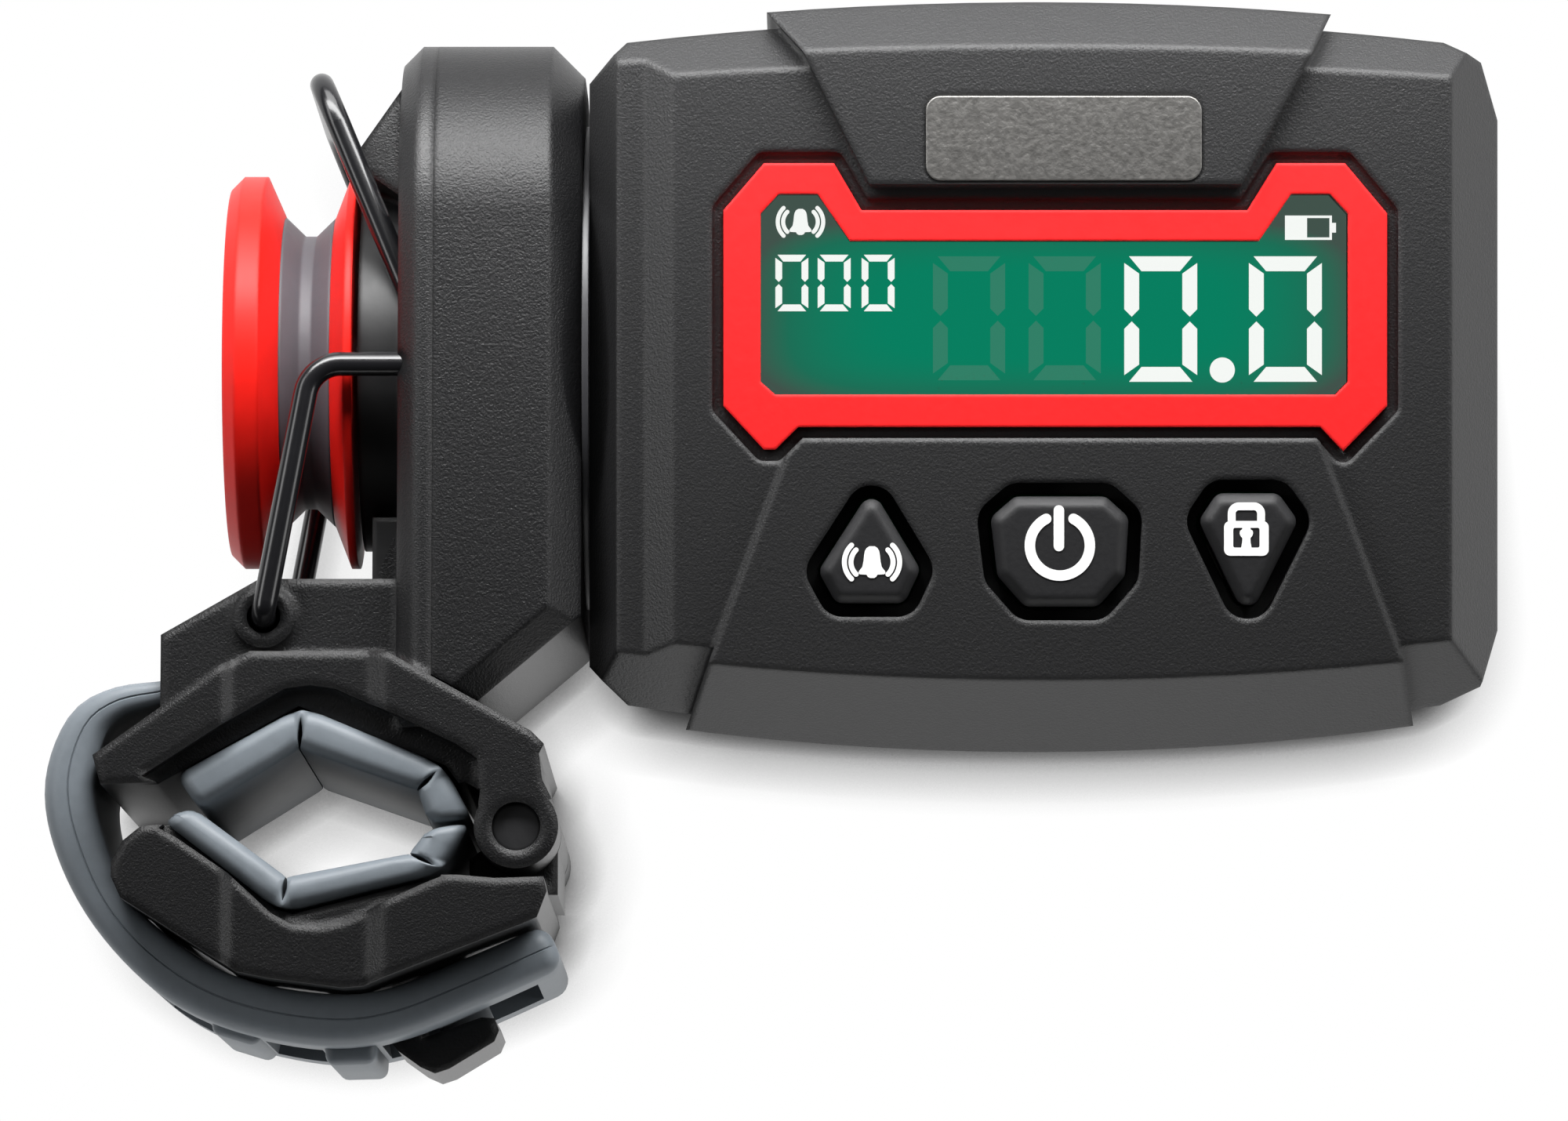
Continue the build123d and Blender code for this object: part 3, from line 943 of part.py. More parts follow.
def band_form():
    """Raised band over the middle of the head, above and below the display."""
    low_z = BEZEL_Z - BEZEL_HALF_HEIGHT * band_reach_share
    high_z = BEZEL_Z + BEZEL_HALF_HEIGHT * band_reach_share
    top = [(BEZEL_X + x, z) for x, z in BAND_TOP_SIDES]
    half = BEZEL_HALF_WIDTH * band_top_share
    upper = top[:2] + [(BEZEL_X - half, high_z), (BEZEL_X + half, high_z)] + top[2:]
    low = [(BEZEL_X + x, z) for x, z in BAND_LOWER_SIDES]
    half = BEZEL_HALF_WIDTH * band_lower_share
    lower = [(BEZEL_X - half, low_z)] + low + [(BEZEL_X + half, low_z)]
    reach = HEAD_FRONT + OVERRUN
    stripes = prism_xz(upper, -reach, HEAD_BACK - BACK_CHAMFER) + prism_xz(lower, -reach,
                                                                           HEAD_BACK - BACK_CHAMFER)
    return head_form(0, BAND_PROUD) & stripes


bezel_outer_shares = [(-0.878, 1.0), (-0.667, 1.0), (-0.584, 0.672), (0.579, 0.672), (0.667, 1.0),
                      (0.873, 1.0), (1.0, 0.65), (1.0, -0.695), (0.868, -1.01), (0.8, -0.842),
                      (-0.775, -0.842), (-0.844, -1.0), (-0.878, -1.0), (-1.0, -0.695), (-1.0, 0.672)]
bezel_inner_shares = [(-0.834, 0.785), (-0.716, 0.785), (-0.619, 0.458), (0.614, 0.458), (0.711, 0.785),
                      (0.829, 0.785), (0.883, 0.65), (0.883, -0.525), (0.844, -0.616), (-0.844, -0.616),
                      (-0.888, -0.525), (-0.888, 0.65)]
alarm_shares = [(0.03, 1.14), (0.97, -0.25), (0.66, -0.83), (-0.66, -0.83), (-1.0, -0.28)]
lock_shares = [(-0.61, 0.97), (0.61, 0.97), (1.0, 0.49), (0.16, -1.0), (-0.16, -1.0), (-0.97, 0.49)]
power_shares = [(-0.63, 1.0), (0.67, 1.0), (1.0, 0.62), (0.95, -0.44), (0.56, -1.0), (-0.49, -1.0),
                (-0.88, -0.44), (-0.98, 0.62)]


def bezel_points(shares):
    return scaled(shares, BEZEL_HALF_WIDTH, BEZEL_HALF_HEIGHT, BEZEL_X, BEZEL_Z)


def key_outlines():
    return {"alarm": (scaled(alarm_shares, ALARM_HALF_WIDTH, ALARM_HALF_HEIGHT, ALARM_X, ALARM_Z),
                      ALARM_X, ALARM_Z),
            "power": (scaled(power_shares, POWER_HALF_WIDTH, POWER_HALF_HEIGHT, POWER_X, POWER_Z),
                      POWER_X, POWER_Z),
            "lock": (scaled(lock_shares, LOCK_HALF_WIDTH, LOCK_HALF_HEIGHT, LOCK_X, LOCK_Z), LOCK_X,
                     LOCK_Z)}


def board_screw_places():
    left, right = BOARD_LEFT + BOARD_SCREW_INSET, BOARD_RIGHT - BOARD_SCREW_INSET
    top, bottom = BOARD_TOP - BOARD_SCREW_INSET, BOARD_BOTTOM + BOARD_SCREW_INSET
    return [(x, z) for x in (left, right) for z in (bottom, top)]


def cover_screw_places():
    left, right = HEAD_LEFT + COVER_SCREW_INSET_X, HEAD_RIGHT - COVER_SCREW_INSET_X
    return [(x, z) for x in (left, right) for z in (COVER_SCREW_TOP, COVER_SCREW_BOTTOM)]


def covers():
    solid = head_form() + band_form()
    cavity = head_form(HEAD_WALL)
    shell = solid - cavity
    posts = []
    for x, z in cover_screw_places():
        post = rod_y(COVER_SCREW_POST_RADIUS, -HEAD_FRONT, HEAD_BACK, x, z) & head_form(HEAD_WALL / 2)
        posts.append(post)
    for post in posts:
        shell += post
    screw_head = HEAD_BACK - COVER_SCREW_HEAD_LENGTH - JAW_EDGE
    for x, z in cover_screw_places():
        shell -= rod_y(COVER_SCREW_HEAD_RADIUS, screw_head, HEAD_BACK + OVERRUN, x, z)
        shell -= rod_y(COVER_SCREW_RADIUS, screw_head - COVER_SCREW_LENGTH, HEAD_BACK, x, z)
    shell -= rod_x(HUB_RADIUS, HEAD_LEFT - OVERRUN, HEAD_LEFT + HEAD_WALL + RUN_GAP)
    wide = HEAD_RIGHT + OVERRUN
    front_half = block(HEAD_LEFT - OVERRUN, wide, -HEAD_FRONT - OVERRUN, SPLIT_Y, HEAD_BOTTOM - OVERRUN,
                       HEAD_TOP + OVERRUN)
    front = shell & front_half
    face = -HEAD_FRONT
    floor = face + BEZEL_THICKNESS - BEZEL_PROUD
    moat = grown(bezel_points(bezel_outer_shares), BEZEL_MOAT, face - OVERRUN, face + BEZEL_MOAT_DEPTH)
    seat = prism_xz(bezel_points(bezel_outer_shares), face - OVERRUN, floor)
    hole = prism_xz(bezel_points(bezel_inner_shares), face - OVERRUN, face + HEAD_WALL + OVERRUN)
    front = front - moat - seat - hole
    for points, x, z in key_outlines().values():
        front -= grown(points, KEY_SLEEVE_GAP, face - OVERRUN, face + HEAD_WALL + OVERRUN, KEY_CORNER)
    for x, z in board_screw_places():
        front += rod_y(BOARD_POST_RADIUS, face + HEAD_WALL / 2, -BOARD_FRONT, x, z)
        front -= rod_y(BOARD_SCREW_RADIUS, -BOARD_FRONT - BOARD_SCREW_LENGTH, SPLIT_Y, x, z)
    front -= prism_xz(badge_points(), face - BAND_PROUD - OVERRUN, face - BAND_PROUD + BADGE_RECESS,
                      BADGE_CORNER)
    keep("head_front_cover", fix_head(front))
    back = shell - front_half
    ledge_back = HEAD_BACK - DOOR_THICKNESS - GASKET_THICKNESS
    back += prism_xz(door_points(DOOR_MARGIN), ledge_back - DOOR_LEDGE, HEAD_BACK - HEAD_WALL,
                     DOOR_CORNER) & head_form(HEAD_WALL / 2)
    back -= prism_xz(door_points(DOOR_MARGIN), ledge_back, HEAD_BACK + OVERRUN, DOOR_CORNER)
    back -= prism_xz(door_points(-DOOR_SEAT), ledge_back - OVERRUN, HEAD_BACK + OVERRUN, DOOR_CORNER / 2)
    back -= rod_y(DOOR_SCREW_RADIUS + RUN_GAP, ledge_back - OVERRUN, HEAD_BACK + OVERRUN, TRAY_MIDDLE,
                  DOOR_SCREW_Z)
    keep("head_rear_cover", fix_head(back))
    screws = [screw_y(COVER_SCREW_RADIUS, COVER_SCREW_HEAD_RADIUS, COVER_SCREW_HEAD_LENGTH,
                      COVER_SCREW_LENGTH - COVER_SCREW_HEAD_LENGTH, x, screw_head + COVER_SCREW_HEAD_LENGTH, z)
              for x, z in cover_screw_places()]
    keep("cover_screws", *[fix_head(screw) for screw in screws])


def badge_points():
    left, right = BADGE_X - BADGE_HALF_WIDTH, BADGE_X + BADGE_HALF_WIDTH
    low, high = BADGE_Z - BADGE_HALF_HEIGHT, BADGE_Z + BADGE_HALF_HEIGHT
    return [(left, low), (right, low), (right, high), (left, high)]


def door_points(margin=0):
    left, right = TRAY_MIDDLE - DOOR_HALF_WIDTH - margin, TRAY_MIDDLE + DOOR_HALF_WIDTH + margin
    top, bottom = DOOR_TOP + margin, DOOR_BOTTOM - margin
    return [(left, bottom), (right, bottom), (right, top), (left, top)]


def display():
    face = -HEAD_FRONT
    floor = face + BEZEL_THICKNESS - BEZEL_PROUD
    bezel = prism_xz(bezel_points(bezel_outer_shares), face - BEZEL_PROUD, floor)
    bezel -= prism_xz(bezel_points(bezel_inner_shares), face - OVERRUN, floor + OVERRUN)
    keep("display_bezel", fix_head(bezel))
    window_front = face + WINDOW_SET_BACK
    window = prism_xz(bezel_points(bezel_inner_shares), window_front, window_front + WINDOW_THICKNESS)
    keep("display_window", fix_head(window))
    lcd_front = face + HEAD_WALL
    lcd_back = lcd_front + LCD_THICKNESS
    lcd = block(LCD_LEFT, LCD_RIGHT, lcd_front, lcd_back, LCD_BOTTOM, LCD_TOP)
    keep("lcd_panel", fix_head(lcd))
    keep("lcd_segments", *[fix_head(shape) for shape in segments(lcd_front)])
    light = block(LCD_LEFT, LCD_RIGHT, lcd_back, lcd_back + BACKLIGHT_THICKNESS, LCD_BOTTOM, LCD_TOP)
    keep("backlight_guide", fix_head(light))
    board_front = -BOARD_FRONT
    strip_z = LCD_BOTTOM + BADGE_CORNER
    strips = [block(LCD_LEFT, LCD_RIGHT, lcd_back + BACKLIGHT_THICKNESS, board_front, z, z + BADGE_CORNER)
              for z in (LCD_BOTTOM, LCD_TOP - BADGE_CORNER)]
    keep("lcd_connectors", *[fix_head(strip) for strip in strips])
    badge_back = face - BAND_PROUD + BADGE_RECESS
    plate = prism_xz(badge_points(), badge_back - BADGE_THICKNESS, badge_back, BADGE_CORNER)
    keep("badge_plate", fix_head(plate))


# Digits of the display, as places and sizes in shares of the bezel's half width and half height
big_digit_shares = [(0.213, -0.071), (0.591, -0.071)]
small_digit_shares = [(-0.845, 0.171), (-0.717, 0.171), (-0.584, 0.171)]
point_shares = (0.51, -0.44)
SEGMENT_WIDTH = 0.75
segment_gap_share = 0.2
big_width_share = 0.215
BIG_DIGIT_WIDTH = BEZEL_HALF_WIDTH * big_width_share
BIG_DIGIT_HEIGHT = 7.7
small_width_share = 0.098
SMALL_DIGIT_WIDTH = BEZEL_HALF_WIDTH * small_width_share
SMALL_DIGIT_HEIGHT = 3.5
SMALL_SEGMENT_WIDTH = 0.4
POINT_RADIUS = 0.7


def digit_zero(x, z, width, height, bar, y):
    """Six bars of a nought, with its lower left corner at x and z."""
    gap = bar * segment_gap_share
    half = height / 2
    y0, y1 = y - SEGMENT_THICKNESS, y
    level = [(x + bar * share_x, z0, x + width - bar * share_x) for share_x,
             z0 in ((1, z), (1, z + height - bar))]
    bars = [block(x0, x1, y0, y1, z0, z0 + bar) for x0, z0, x1 in level]
    for x0 in (x, x + width - bar):
        bars.append(block(x0, x0 + bar, y0, y1, z + bar + gap, z + half - gap))
        bars.append(block(x0, x0 + bar, y0, y1, z + half + gap, z + height - bar - gap))
    return bars


def segments(y):
    shapes = []
    for x_share, z_share in big_digit_shares:
        x, z = BEZEL_X + BEZEL_HALF_WIDTH * x_share, BEZEL_Z + BEZEL_HALF_HEIGHT * z_share
        shapes += digit_zero(x, z - BIG_DIGIT_HEIGHT / 2, BIG_DIGIT_WIDTH, BIG_DIGIT_HEIGHT,
                             SEGMENT_WIDTH, y)
    for x_share, z_share in small_digit_shares:
        x, z = BEZEL_X + BEZEL_HALF_WIDTH * x_share, BEZEL_Z + BEZEL_HALF_HEIGHT * z_share
        shapes += digit_zero(x, z - SMALL_DIGIT_HEIGHT / 2, SMALL_DIGIT_WIDTH, SMALL_DIGIT_HEIGHT,
                             SMALL_SEGMENT_WIDTH, y)
    x, z = BEZEL_X + BEZEL_HALF_WIDTH * point_shares[0], BEZEL_Z + BEZEL_HALF_HEIGHT * point_shares[1]
    shapes.append(rod_y(POINT_RADIUS, y - SEGMENT_THICKNESS, y, x, z))
    return shapes


def keypad():
    face = -HEAD_FRONT
    mat_front = face + HEAD_WALL
    board_front = -BOARD_FRONT
    mat = block(ALARM_X - ALARM_HALF_WIDTH - MAT_MARGIN, LOCK_X + LOCK_HALF_WIDTH + MAT_MARGIN, mat_front,
                mat_front + MAT_THICKNESS, POWER_Z - POWER_HALF_HEIGHT - MAT_MARGIN / 2,
                LCD_BOTTOM - BADGE_CORNER)
    domes = []
    for name, (points, x, z) in key_outlines().items():
        mat -= grown(points, SEAT_GAP, mat_front - OVERRUN, mat_front + MAT_THICKNESS + OVERRUN, KEY_CORNER)
        cap_front = face - BAND_PROUD - KEY_PROUD
        cap = prism_xz(points, cap_front, mat_front + MAT_THICKNESS, KEY_CORNER)
        rim = cap.edges().group_by(Axis.Y)[0]
        cap = chamfer(rim, KEY_BEVEL)
        dome_front = board_front - DOME_HEIGHT
        cap += rod_y(KEY_FOOT_RADIUS, mat_front, dome_front - KEY_TRAVEL - RUN_GAP, x, z)
        keep(name + "_key", fix_head(cap))
        domes.append(fix_head(rod_y(DOME_RADIUS, dome_front, board_front, x, z)))
        keep(name + "_symbol", *[fix_head(shape) for shape in symbol(name, x, z, cap_front)])
    keep("keypad_mat", fix_head(mat))
    keep("key_domes", *domes)


BELL_RADIUS = 0.75
BELL_SKIRT = 0.95
bell_lift_share = 0.33
skirt_share = 1.5
WAVE_RADII = (1.35, 1.85)
WAVE_WIDTH = 0.28
WAVE_HALF_ANGLE = 48
ALARM_SYMBOL_DROP = 0.2
RING_RADIUS = 2.0
RING_WIDTH = 0.62
RING_GAP = 0.75
BAR_LENGTH = 2.6
PADLOCK_WIDTH = 2.7
PADLOCK_HEIGHT = 2.1
SHACKLE_RADIUS = 0.85
SHACKLE_WIDTH = 0.42
KEYHOLE_RADIUS = 0.34


def arc_strip(x, z, radius, width, start, end, y):
    """Part of a flat ring between two angles, in degrees."""
    ring = rod_y(radius + width / 2, y - SYMBOL_THICKNESS, y, x, z)
    ring -= rod_y(radius - width / 2, y - OVERRUN, y + OVERRUN, x, z)
    reach = 2 * (radius + width)
    middle = radians((start + end) / 2)
    half = radians((end - start) / 2)
    wedge = [(x, z)]
    for angle in (middle - half, middle, middle + half):
        wedge.append((x + reach * cos(angle), z + reach * sin(angle)))
    return ring & prism_xz(wedge, y - OVERRUN, y + OVERRUN)


def symbol(name, x, z, y):
    if name == "alarm":
        z = z - ALARM_SYMBOL_DROP
        bell_lift = BELL_RADIUS * bell_lift_share
        skirt_half = BELL_RADIUS * skirt_share
        bell = rod_y(BELL_RADIUS, y - SYMBOL_THICKNESS, y, x, z + bell_lift)
        skirt = [(x - BELL_RADIUS, z + bell_lift), (x + BELL_RADIUS, z + bell_lift),
                 (x + skirt_half, z - BELL_SKIRT), (x - skirt_half, z - BELL_SKIRT)]
        bell += prism_xz(skirt, y - SYMBOL_THICKNESS, y)
        waves = []
        for radius in WAVE_RADII:
            waves.append(arc_strip(x, z, radius, WAVE_WIDTH, -WAVE_HALF_ANGLE, WAVE_HALF_ANGLE, y))
            waves.append(arc_strip(x, z, radius, WAVE_WIDTH, 180 - WAVE_HALF_ANGLE,
                                   180 + WAVE_HALF_ANGLE, y))
        return [bell] + waves
    if name == "power":
        ring = rod_y(RING_RADIUS, y - SYMBOL_THICKNESS, y, x, z)
        ring -= rod_y(RING_RADIUS - RING_WIDTH, y - OVERRUN, y + OVERRUN, x, z)
        ring -= block(x - RING_GAP, x + RING_GAP, y - OVERRUN, y + OVERRUN, z, z + 2 * RING_RADIUS)
        top = z + RING_RADIUS + RING_WIDTH / 2
        bar = block(x - RING_WIDTH / 2, x + RING_WIDTH / 2, y - SYMBOL_THICKNESS, y, top - BAR_LENGTH, top)
        return [ring, bar]
    low = z - PADLOCK_HEIGHT
    lock_body = block(x - PADLOCK_WIDTH / 2, x + PADLOCK_WIDTH / 2, y - SYMBOL_THICKNESS, y, low, z)
    lock_body -= rod_y(KEYHOLE_RADIUS, y - OVERRUN, y + OVERRUN, x, z - PADLOCK_HEIGHT / 2)
    shackle = arc_strip(x, z, SHACKLE_RADIUS, SHACKLE_WIDTH, 0, 180, y)
    return [lock_body + shackle]


def boards():
    front, back = -BOARD_FRONT, -BOARD_FRONT + BOARD_THICKNESS
    board = block(BOARD_LEFT, BOARD_RIGHT, front, back, BOARD_BOTTOM, BOARD_TOP)
    screws = []
    for x, z in board_screw_places():
        board -= rod_y(BOARD_SCREW_RADIUS, front - OVERRUN, back + OVERRUN, x, z)
        screws.append(screw_y(BOARD_SCREW_RADIUS, BOARD_SCREW_HEAD_RADIUS, BOARD_SCREW_HEAD_LENGTH,
                              BOARD_THICKNESS + BOARD_SCREW_LENGTH, x, back + BOARD_SCREW_HEAD_LENGTH, z))
    keep("main_board", fix_head(board))
    keep("board_screws", *[fix_head(screw) for screw in screws])
    buzzer = rod_y(BUZZER_RADIUS, back, back + BUZZER_HEIGHT, BUZZER_X, BUZZER_Z)
    keep("buzzer", fix_head(buzzer))
    half = CHIP_SIZE / 2
    chips = [block(HEAD_MIDDLE - half, HEAD_MIDDLE + half, back, back + CHIP_HEIGHT, -half, half),
             block(HEAD_MIDDLE + CHIP_SIZE, HEAD_MIDDLE + CHIP_SIZE + half, back, back + CHIP_HEIGHT,
                   -half, 0)]
    keep("board_chips", *[fix_head(chip) for chip in chips])


def batteries():
    top = CELL_HALF_HEIGHT + SEAT_GAP
    floor = CELL_Y - CELL_RADIUS - SEAT_GAP
    rear = HEAD_BACK - DOOR_THICKNESS - GASKET_THICKNESS - DOOR_LEDGE
    tray = block(TRAY_LEFT, TRAY_RIGHT, floor - TRAY_WALL, rear, -top - TRAY_WALL, top + TRAY_WALL)
    tray -= block(TRAY_LEFT + TRAY_WALL, TRAY_RIGHT - TRAY_WALL, floor, rear + OVERRUN, -top, top)
    boss_low = DOOR_SCREW_Z - DOOR_SCREW_RADIUS - TRAY_WALL
    tray += block(TRAY_MIDDLE - DOOR_SCREW_HEAD_RADIUS, TRAY_MIDDLE + DOOR_SCREW_HEAD_RADIUS, floor,
                  rear, boss_low,
                  -top)
    tray -= rod_y(DOOR_SCREW_RADIUS + RUN_GAP, rear - DOOR_SCREW_LENGTH, rear + OVERRUN, TRAY_MIDDLE,
                  DOOR_SCREW_Z)
    keep("battery_tray", fix_head(tray))
    cells, springs, plates = [], [], []
    inner_left, inner_right = TRAY_LEFT + TRAY_WALL, TRAY_RIGHT - TRAY_WALL
    for side in (-1, 1):
        z = side * CELL_SPACING / 2
        plate_left = block(inner_left, inner_left + CONTACT_THICKNESS, CELL_Y - CONTACT_HALF_SIZE,
                           CELL_Y + CONTACT_HALF_SIZE, z - CONTACT_HALF_SIZE, z + CONTACT_HALF_SIZE)
        plate_right = Pos(inner_right - inner_left - CONTACT_THICKNESS, 0, 0) * plate_left
        plates += [plate_left, plate_right]
        spring_length = SPRING_LENGTH
        if side < 0:
            start = inner_left + CONTACT_THICKNESS + spring_length
            cell = rod_x(CELL_RADIUS, start, start + CELL_LENGTH, CELL_Y, z)
            cell += rod_x(CELL_NUB_RADIUS, start + CELL_LENGTH, start + CELL_LENGTH + CELL_NUB_LENGTH,
                          CELL_Y, z)
            cone = Pos(inner_left + CONTACT_THICKNESS, CELL_Y, z) * Rot(0, 90, 0) * Cone(
                SPRING_RADIUS, SPRING_TIP_RADIUS, spring_length, align=(Align.CENTER, Align.CENTER,
                                                                        Align.MIN))
        else:
            start = inner_left + CONTACT_THICKNESS + CELL_NUB_LENGTH
            cell = rod_x(CELL_RADIUS, start, start + CELL_LENGTH, CELL_Y, z)
            cell += rod_x(CELL_NUB_RADIUS, start - CELL_NUB_LENGTH, start, CELL_Y, z)
            cone = Pos(inner_right - CONTACT_THICKNESS, CELL_Y, z) * Rot(0, -90, 0) * Cone(
                SPRING_RADIUS, SPRING_TIP_RADIUS, spring_length, align=(Align.CENTER, Align.CENTER,
                                                                        Align.MIN))
        cells.append(cell)
        springs.append(cone)
    keep("battery_cells", *[fix_head(cell) for cell in cells])
    keep("battery_springs", *[fix_head(spring) for spring in springs])
    keep("battery_contacts", *[fix_head(plate) for plate in plates])
    door_front = HEAD_BACK - DOOR_THICKNESS
    door = prism_xz(door_points(), door_front, HEAD_BACK, DOOR_CORNER)
    door -= rod_y(DOOR_SCREW_RADIUS + RUN_GAP, door_front - OVERRUN, HEAD_BACK + OVERRUN, TRAY_MIDDLE,
                  DOOR_SCREW_Z)
    head_depth = DOOR_THICKNESS / 2
    door -= rod_y(DOOR_SCREW_HEAD_RADIUS + RUN_GAP, HEAD_BACK - head_depth, HEAD_BACK + OVERRUN,
                  TRAY_MIDDLE,
                  DOOR_SCREW_Z)
    keep("battery_door", fix_head(door))
    screw = rod_y(DOOR_SCREW_HEAD_RADIUS, HEAD_BACK - head_depth, HEAD_BACK, TRAY_MIDDLE, DOOR_SCREW_Z)
    screw += rod_y(DOOR_SCREW_RADIUS, rear - DOOR_SCREW_LENGTH + SEAT_GAP, HEAD_BACK, TRAY_MIDDLE,
                   DOOR_SCREW_Z)
    screw -= block(TRAY_MIDDLE - DOOR_SCREW_HEAD_RADIUS, TRAY_MIDDLE + DOOR_SCREW_HEAD_RADIUS,
                   HEAD_BACK - head_depth / 2, HEAD_BACK + OVERRUN, DOOR_SCREW_Z - COIN_SLOT / 2,
                   DOOR_SCREW_Z + COIN_SLOT / 2)
    keep("door_screw", fix_head(screw))
    seal = prism_xz(door_points(-SEAT_GAP), door_front - GASKET_THICKNESS, door_front, DOOR_CORNER)
    seal -= prism_xz(door_points(-SEAT_GAP - GASKET_WIDTH), door_front - OVERRUN, door_front + OVERRUN,
                     DOOR_CORNER - GASKET_WIDTH)
    keep("door_gasket", fix_head(seal))


def build():
    pads()
    clamp_bracket()
    pod_barrel()
    pod_screws()
    lower_jaw()
    strap()
    measuring_wheel()
    sensor_board()
    guide_wires()
    swivel()
    covers()
    display()
    keypad()
    boards()
    batteries()


build()
os.makedirs("parts", exist_ok=True)
for name, solids in parts.items():
    shape = solids[0] if len(solids) == 1 else Compound(children=solids)
    export_step(shape, "parts/" + name + ".step")
print(len(parts), "nodes")
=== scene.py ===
import bpy, math
from mathutils import Vector, Matrix


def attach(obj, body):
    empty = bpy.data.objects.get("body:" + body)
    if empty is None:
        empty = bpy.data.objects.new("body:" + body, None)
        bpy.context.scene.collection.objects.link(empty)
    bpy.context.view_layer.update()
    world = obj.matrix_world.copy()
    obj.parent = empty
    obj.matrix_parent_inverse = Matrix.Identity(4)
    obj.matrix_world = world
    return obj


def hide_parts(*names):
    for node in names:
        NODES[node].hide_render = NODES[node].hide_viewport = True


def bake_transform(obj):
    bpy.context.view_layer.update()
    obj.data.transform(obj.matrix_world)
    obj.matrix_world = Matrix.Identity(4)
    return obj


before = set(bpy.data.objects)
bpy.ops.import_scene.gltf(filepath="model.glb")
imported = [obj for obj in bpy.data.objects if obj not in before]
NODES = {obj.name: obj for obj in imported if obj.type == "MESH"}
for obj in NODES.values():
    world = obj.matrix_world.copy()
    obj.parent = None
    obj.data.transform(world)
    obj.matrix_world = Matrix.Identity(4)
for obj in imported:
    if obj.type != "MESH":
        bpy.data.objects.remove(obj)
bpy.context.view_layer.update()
MM = 0.001
HEAD_TILT = math.radians(6.5)    # as in part.py
SWIVEL_HEIGHT = 29.4             # as in part.py, in millimetres like all lengths below
HEAD = Matrix.Translation((0, 0, SWIVEL_HEIGHT * MM)) @ Matrix.Rotation(HEAD_TILT, 4, "X")


# Shader helpers
def nodes_of(name):
    """New material with only its output node."""
    mat = bpy.data.materials.new(name)
    mat.use_nodes = True
    tree = mat.node_tree
    tree.nodes.clear()
    out = tree.nodes.new("ShaderNodeOutputMaterial")
    return mat, tree, out


def math_node(tree, operation, *values):
    """Output of a math node; each value is another node's output or a number."""
    node = tree.nodes.new("ShaderNodeMath")
    node.operation = operation
    for socket, value in zip(node.inputs, values):
        if isinstance(value, (int, float)):
            socket.default_value = value
        else:
            tree.links.new(value, socket)
    return node.outputs[0]


def mixed(tree, share, first, second):
    """Output of a mix of two shaders; the share is how much of the second shows."""
    mix = tree.nodes.new("ShaderNodeMixShader")
    for socket, value in zip(mix.inputs, (share, first, second)):
        tree.links.new(value, socket)
    return mix.outputs[0]


def glossy(tree, rough, shade):
    node = tree.nodes.new("ShaderNodeBsdfGlossy")
    node.inputs["Roughness"].default_value = rough
    node.inputs["Color"].default_value = (shade, shade, shade, 1)
    return node.outputs[0]


# Materials
GRAIN_DETAIL = 3.0
GRAIN_ROUGHNESS = 0.55
LEATHER_SCALE_SHARE = 0.55
EDGE_SAMPLES = 6
COAT_ROUGHNESS = 0.08
DARK_SHARE = 0.82                # darkest colour of the grain, of the lightest


def grain(tree, scale, strength, bevel, distance, leather):
    """Bump normal of a fine moulded grain over rounded edges, and the grain's height."""
    coord = tree.nodes.new("ShaderNodeNewGeometry")
    noise = tree.nodes.new("ShaderNodeTexNoise")
    noise.inputs["Scale"].default_value = scale
    noise.inputs["Detail"].default_value = GRAIN_DETAIL
    noise.inputs["Roughness"].default_value = GRAIN_ROUGHNESS
    tree.links.new(coord.outputs["Position"], noise.inputs["Vector"])
    height = noise.outputs["Fac"]
    if leather:
        cells = tree.nodes.new("ShaderNodeTexVoronoi")
        cells.inputs["Scale"].default_value = scale * LEATHER_SCALE_SHARE
        tree.links.new(coord.outputs["Position"], cells.inputs["Vector"])
        height = math_node(tree, "MULTIPLY_ADD", cells.outputs["Distance"], leather, height)
    bump = tree.nodes.new("ShaderNodeBump")
    bump.inputs["Strength"].default_value = strength
    bump.inputs["Distance"].default_value = distance
    tree.links.new(height, bump.inputs["Height"])
    if bevel:
        edge = tree.nodes.new("ShaderNodeBevel")
        edge.samples = EDGE_SAMPLES
        edge.inputs["Radius"].default_value = bevel
        tree.links.new(edge.outputs["Normal"], bump.inputs["Normal"])
    return bump.outputs["Normal"], noise.outputs["Fac"]


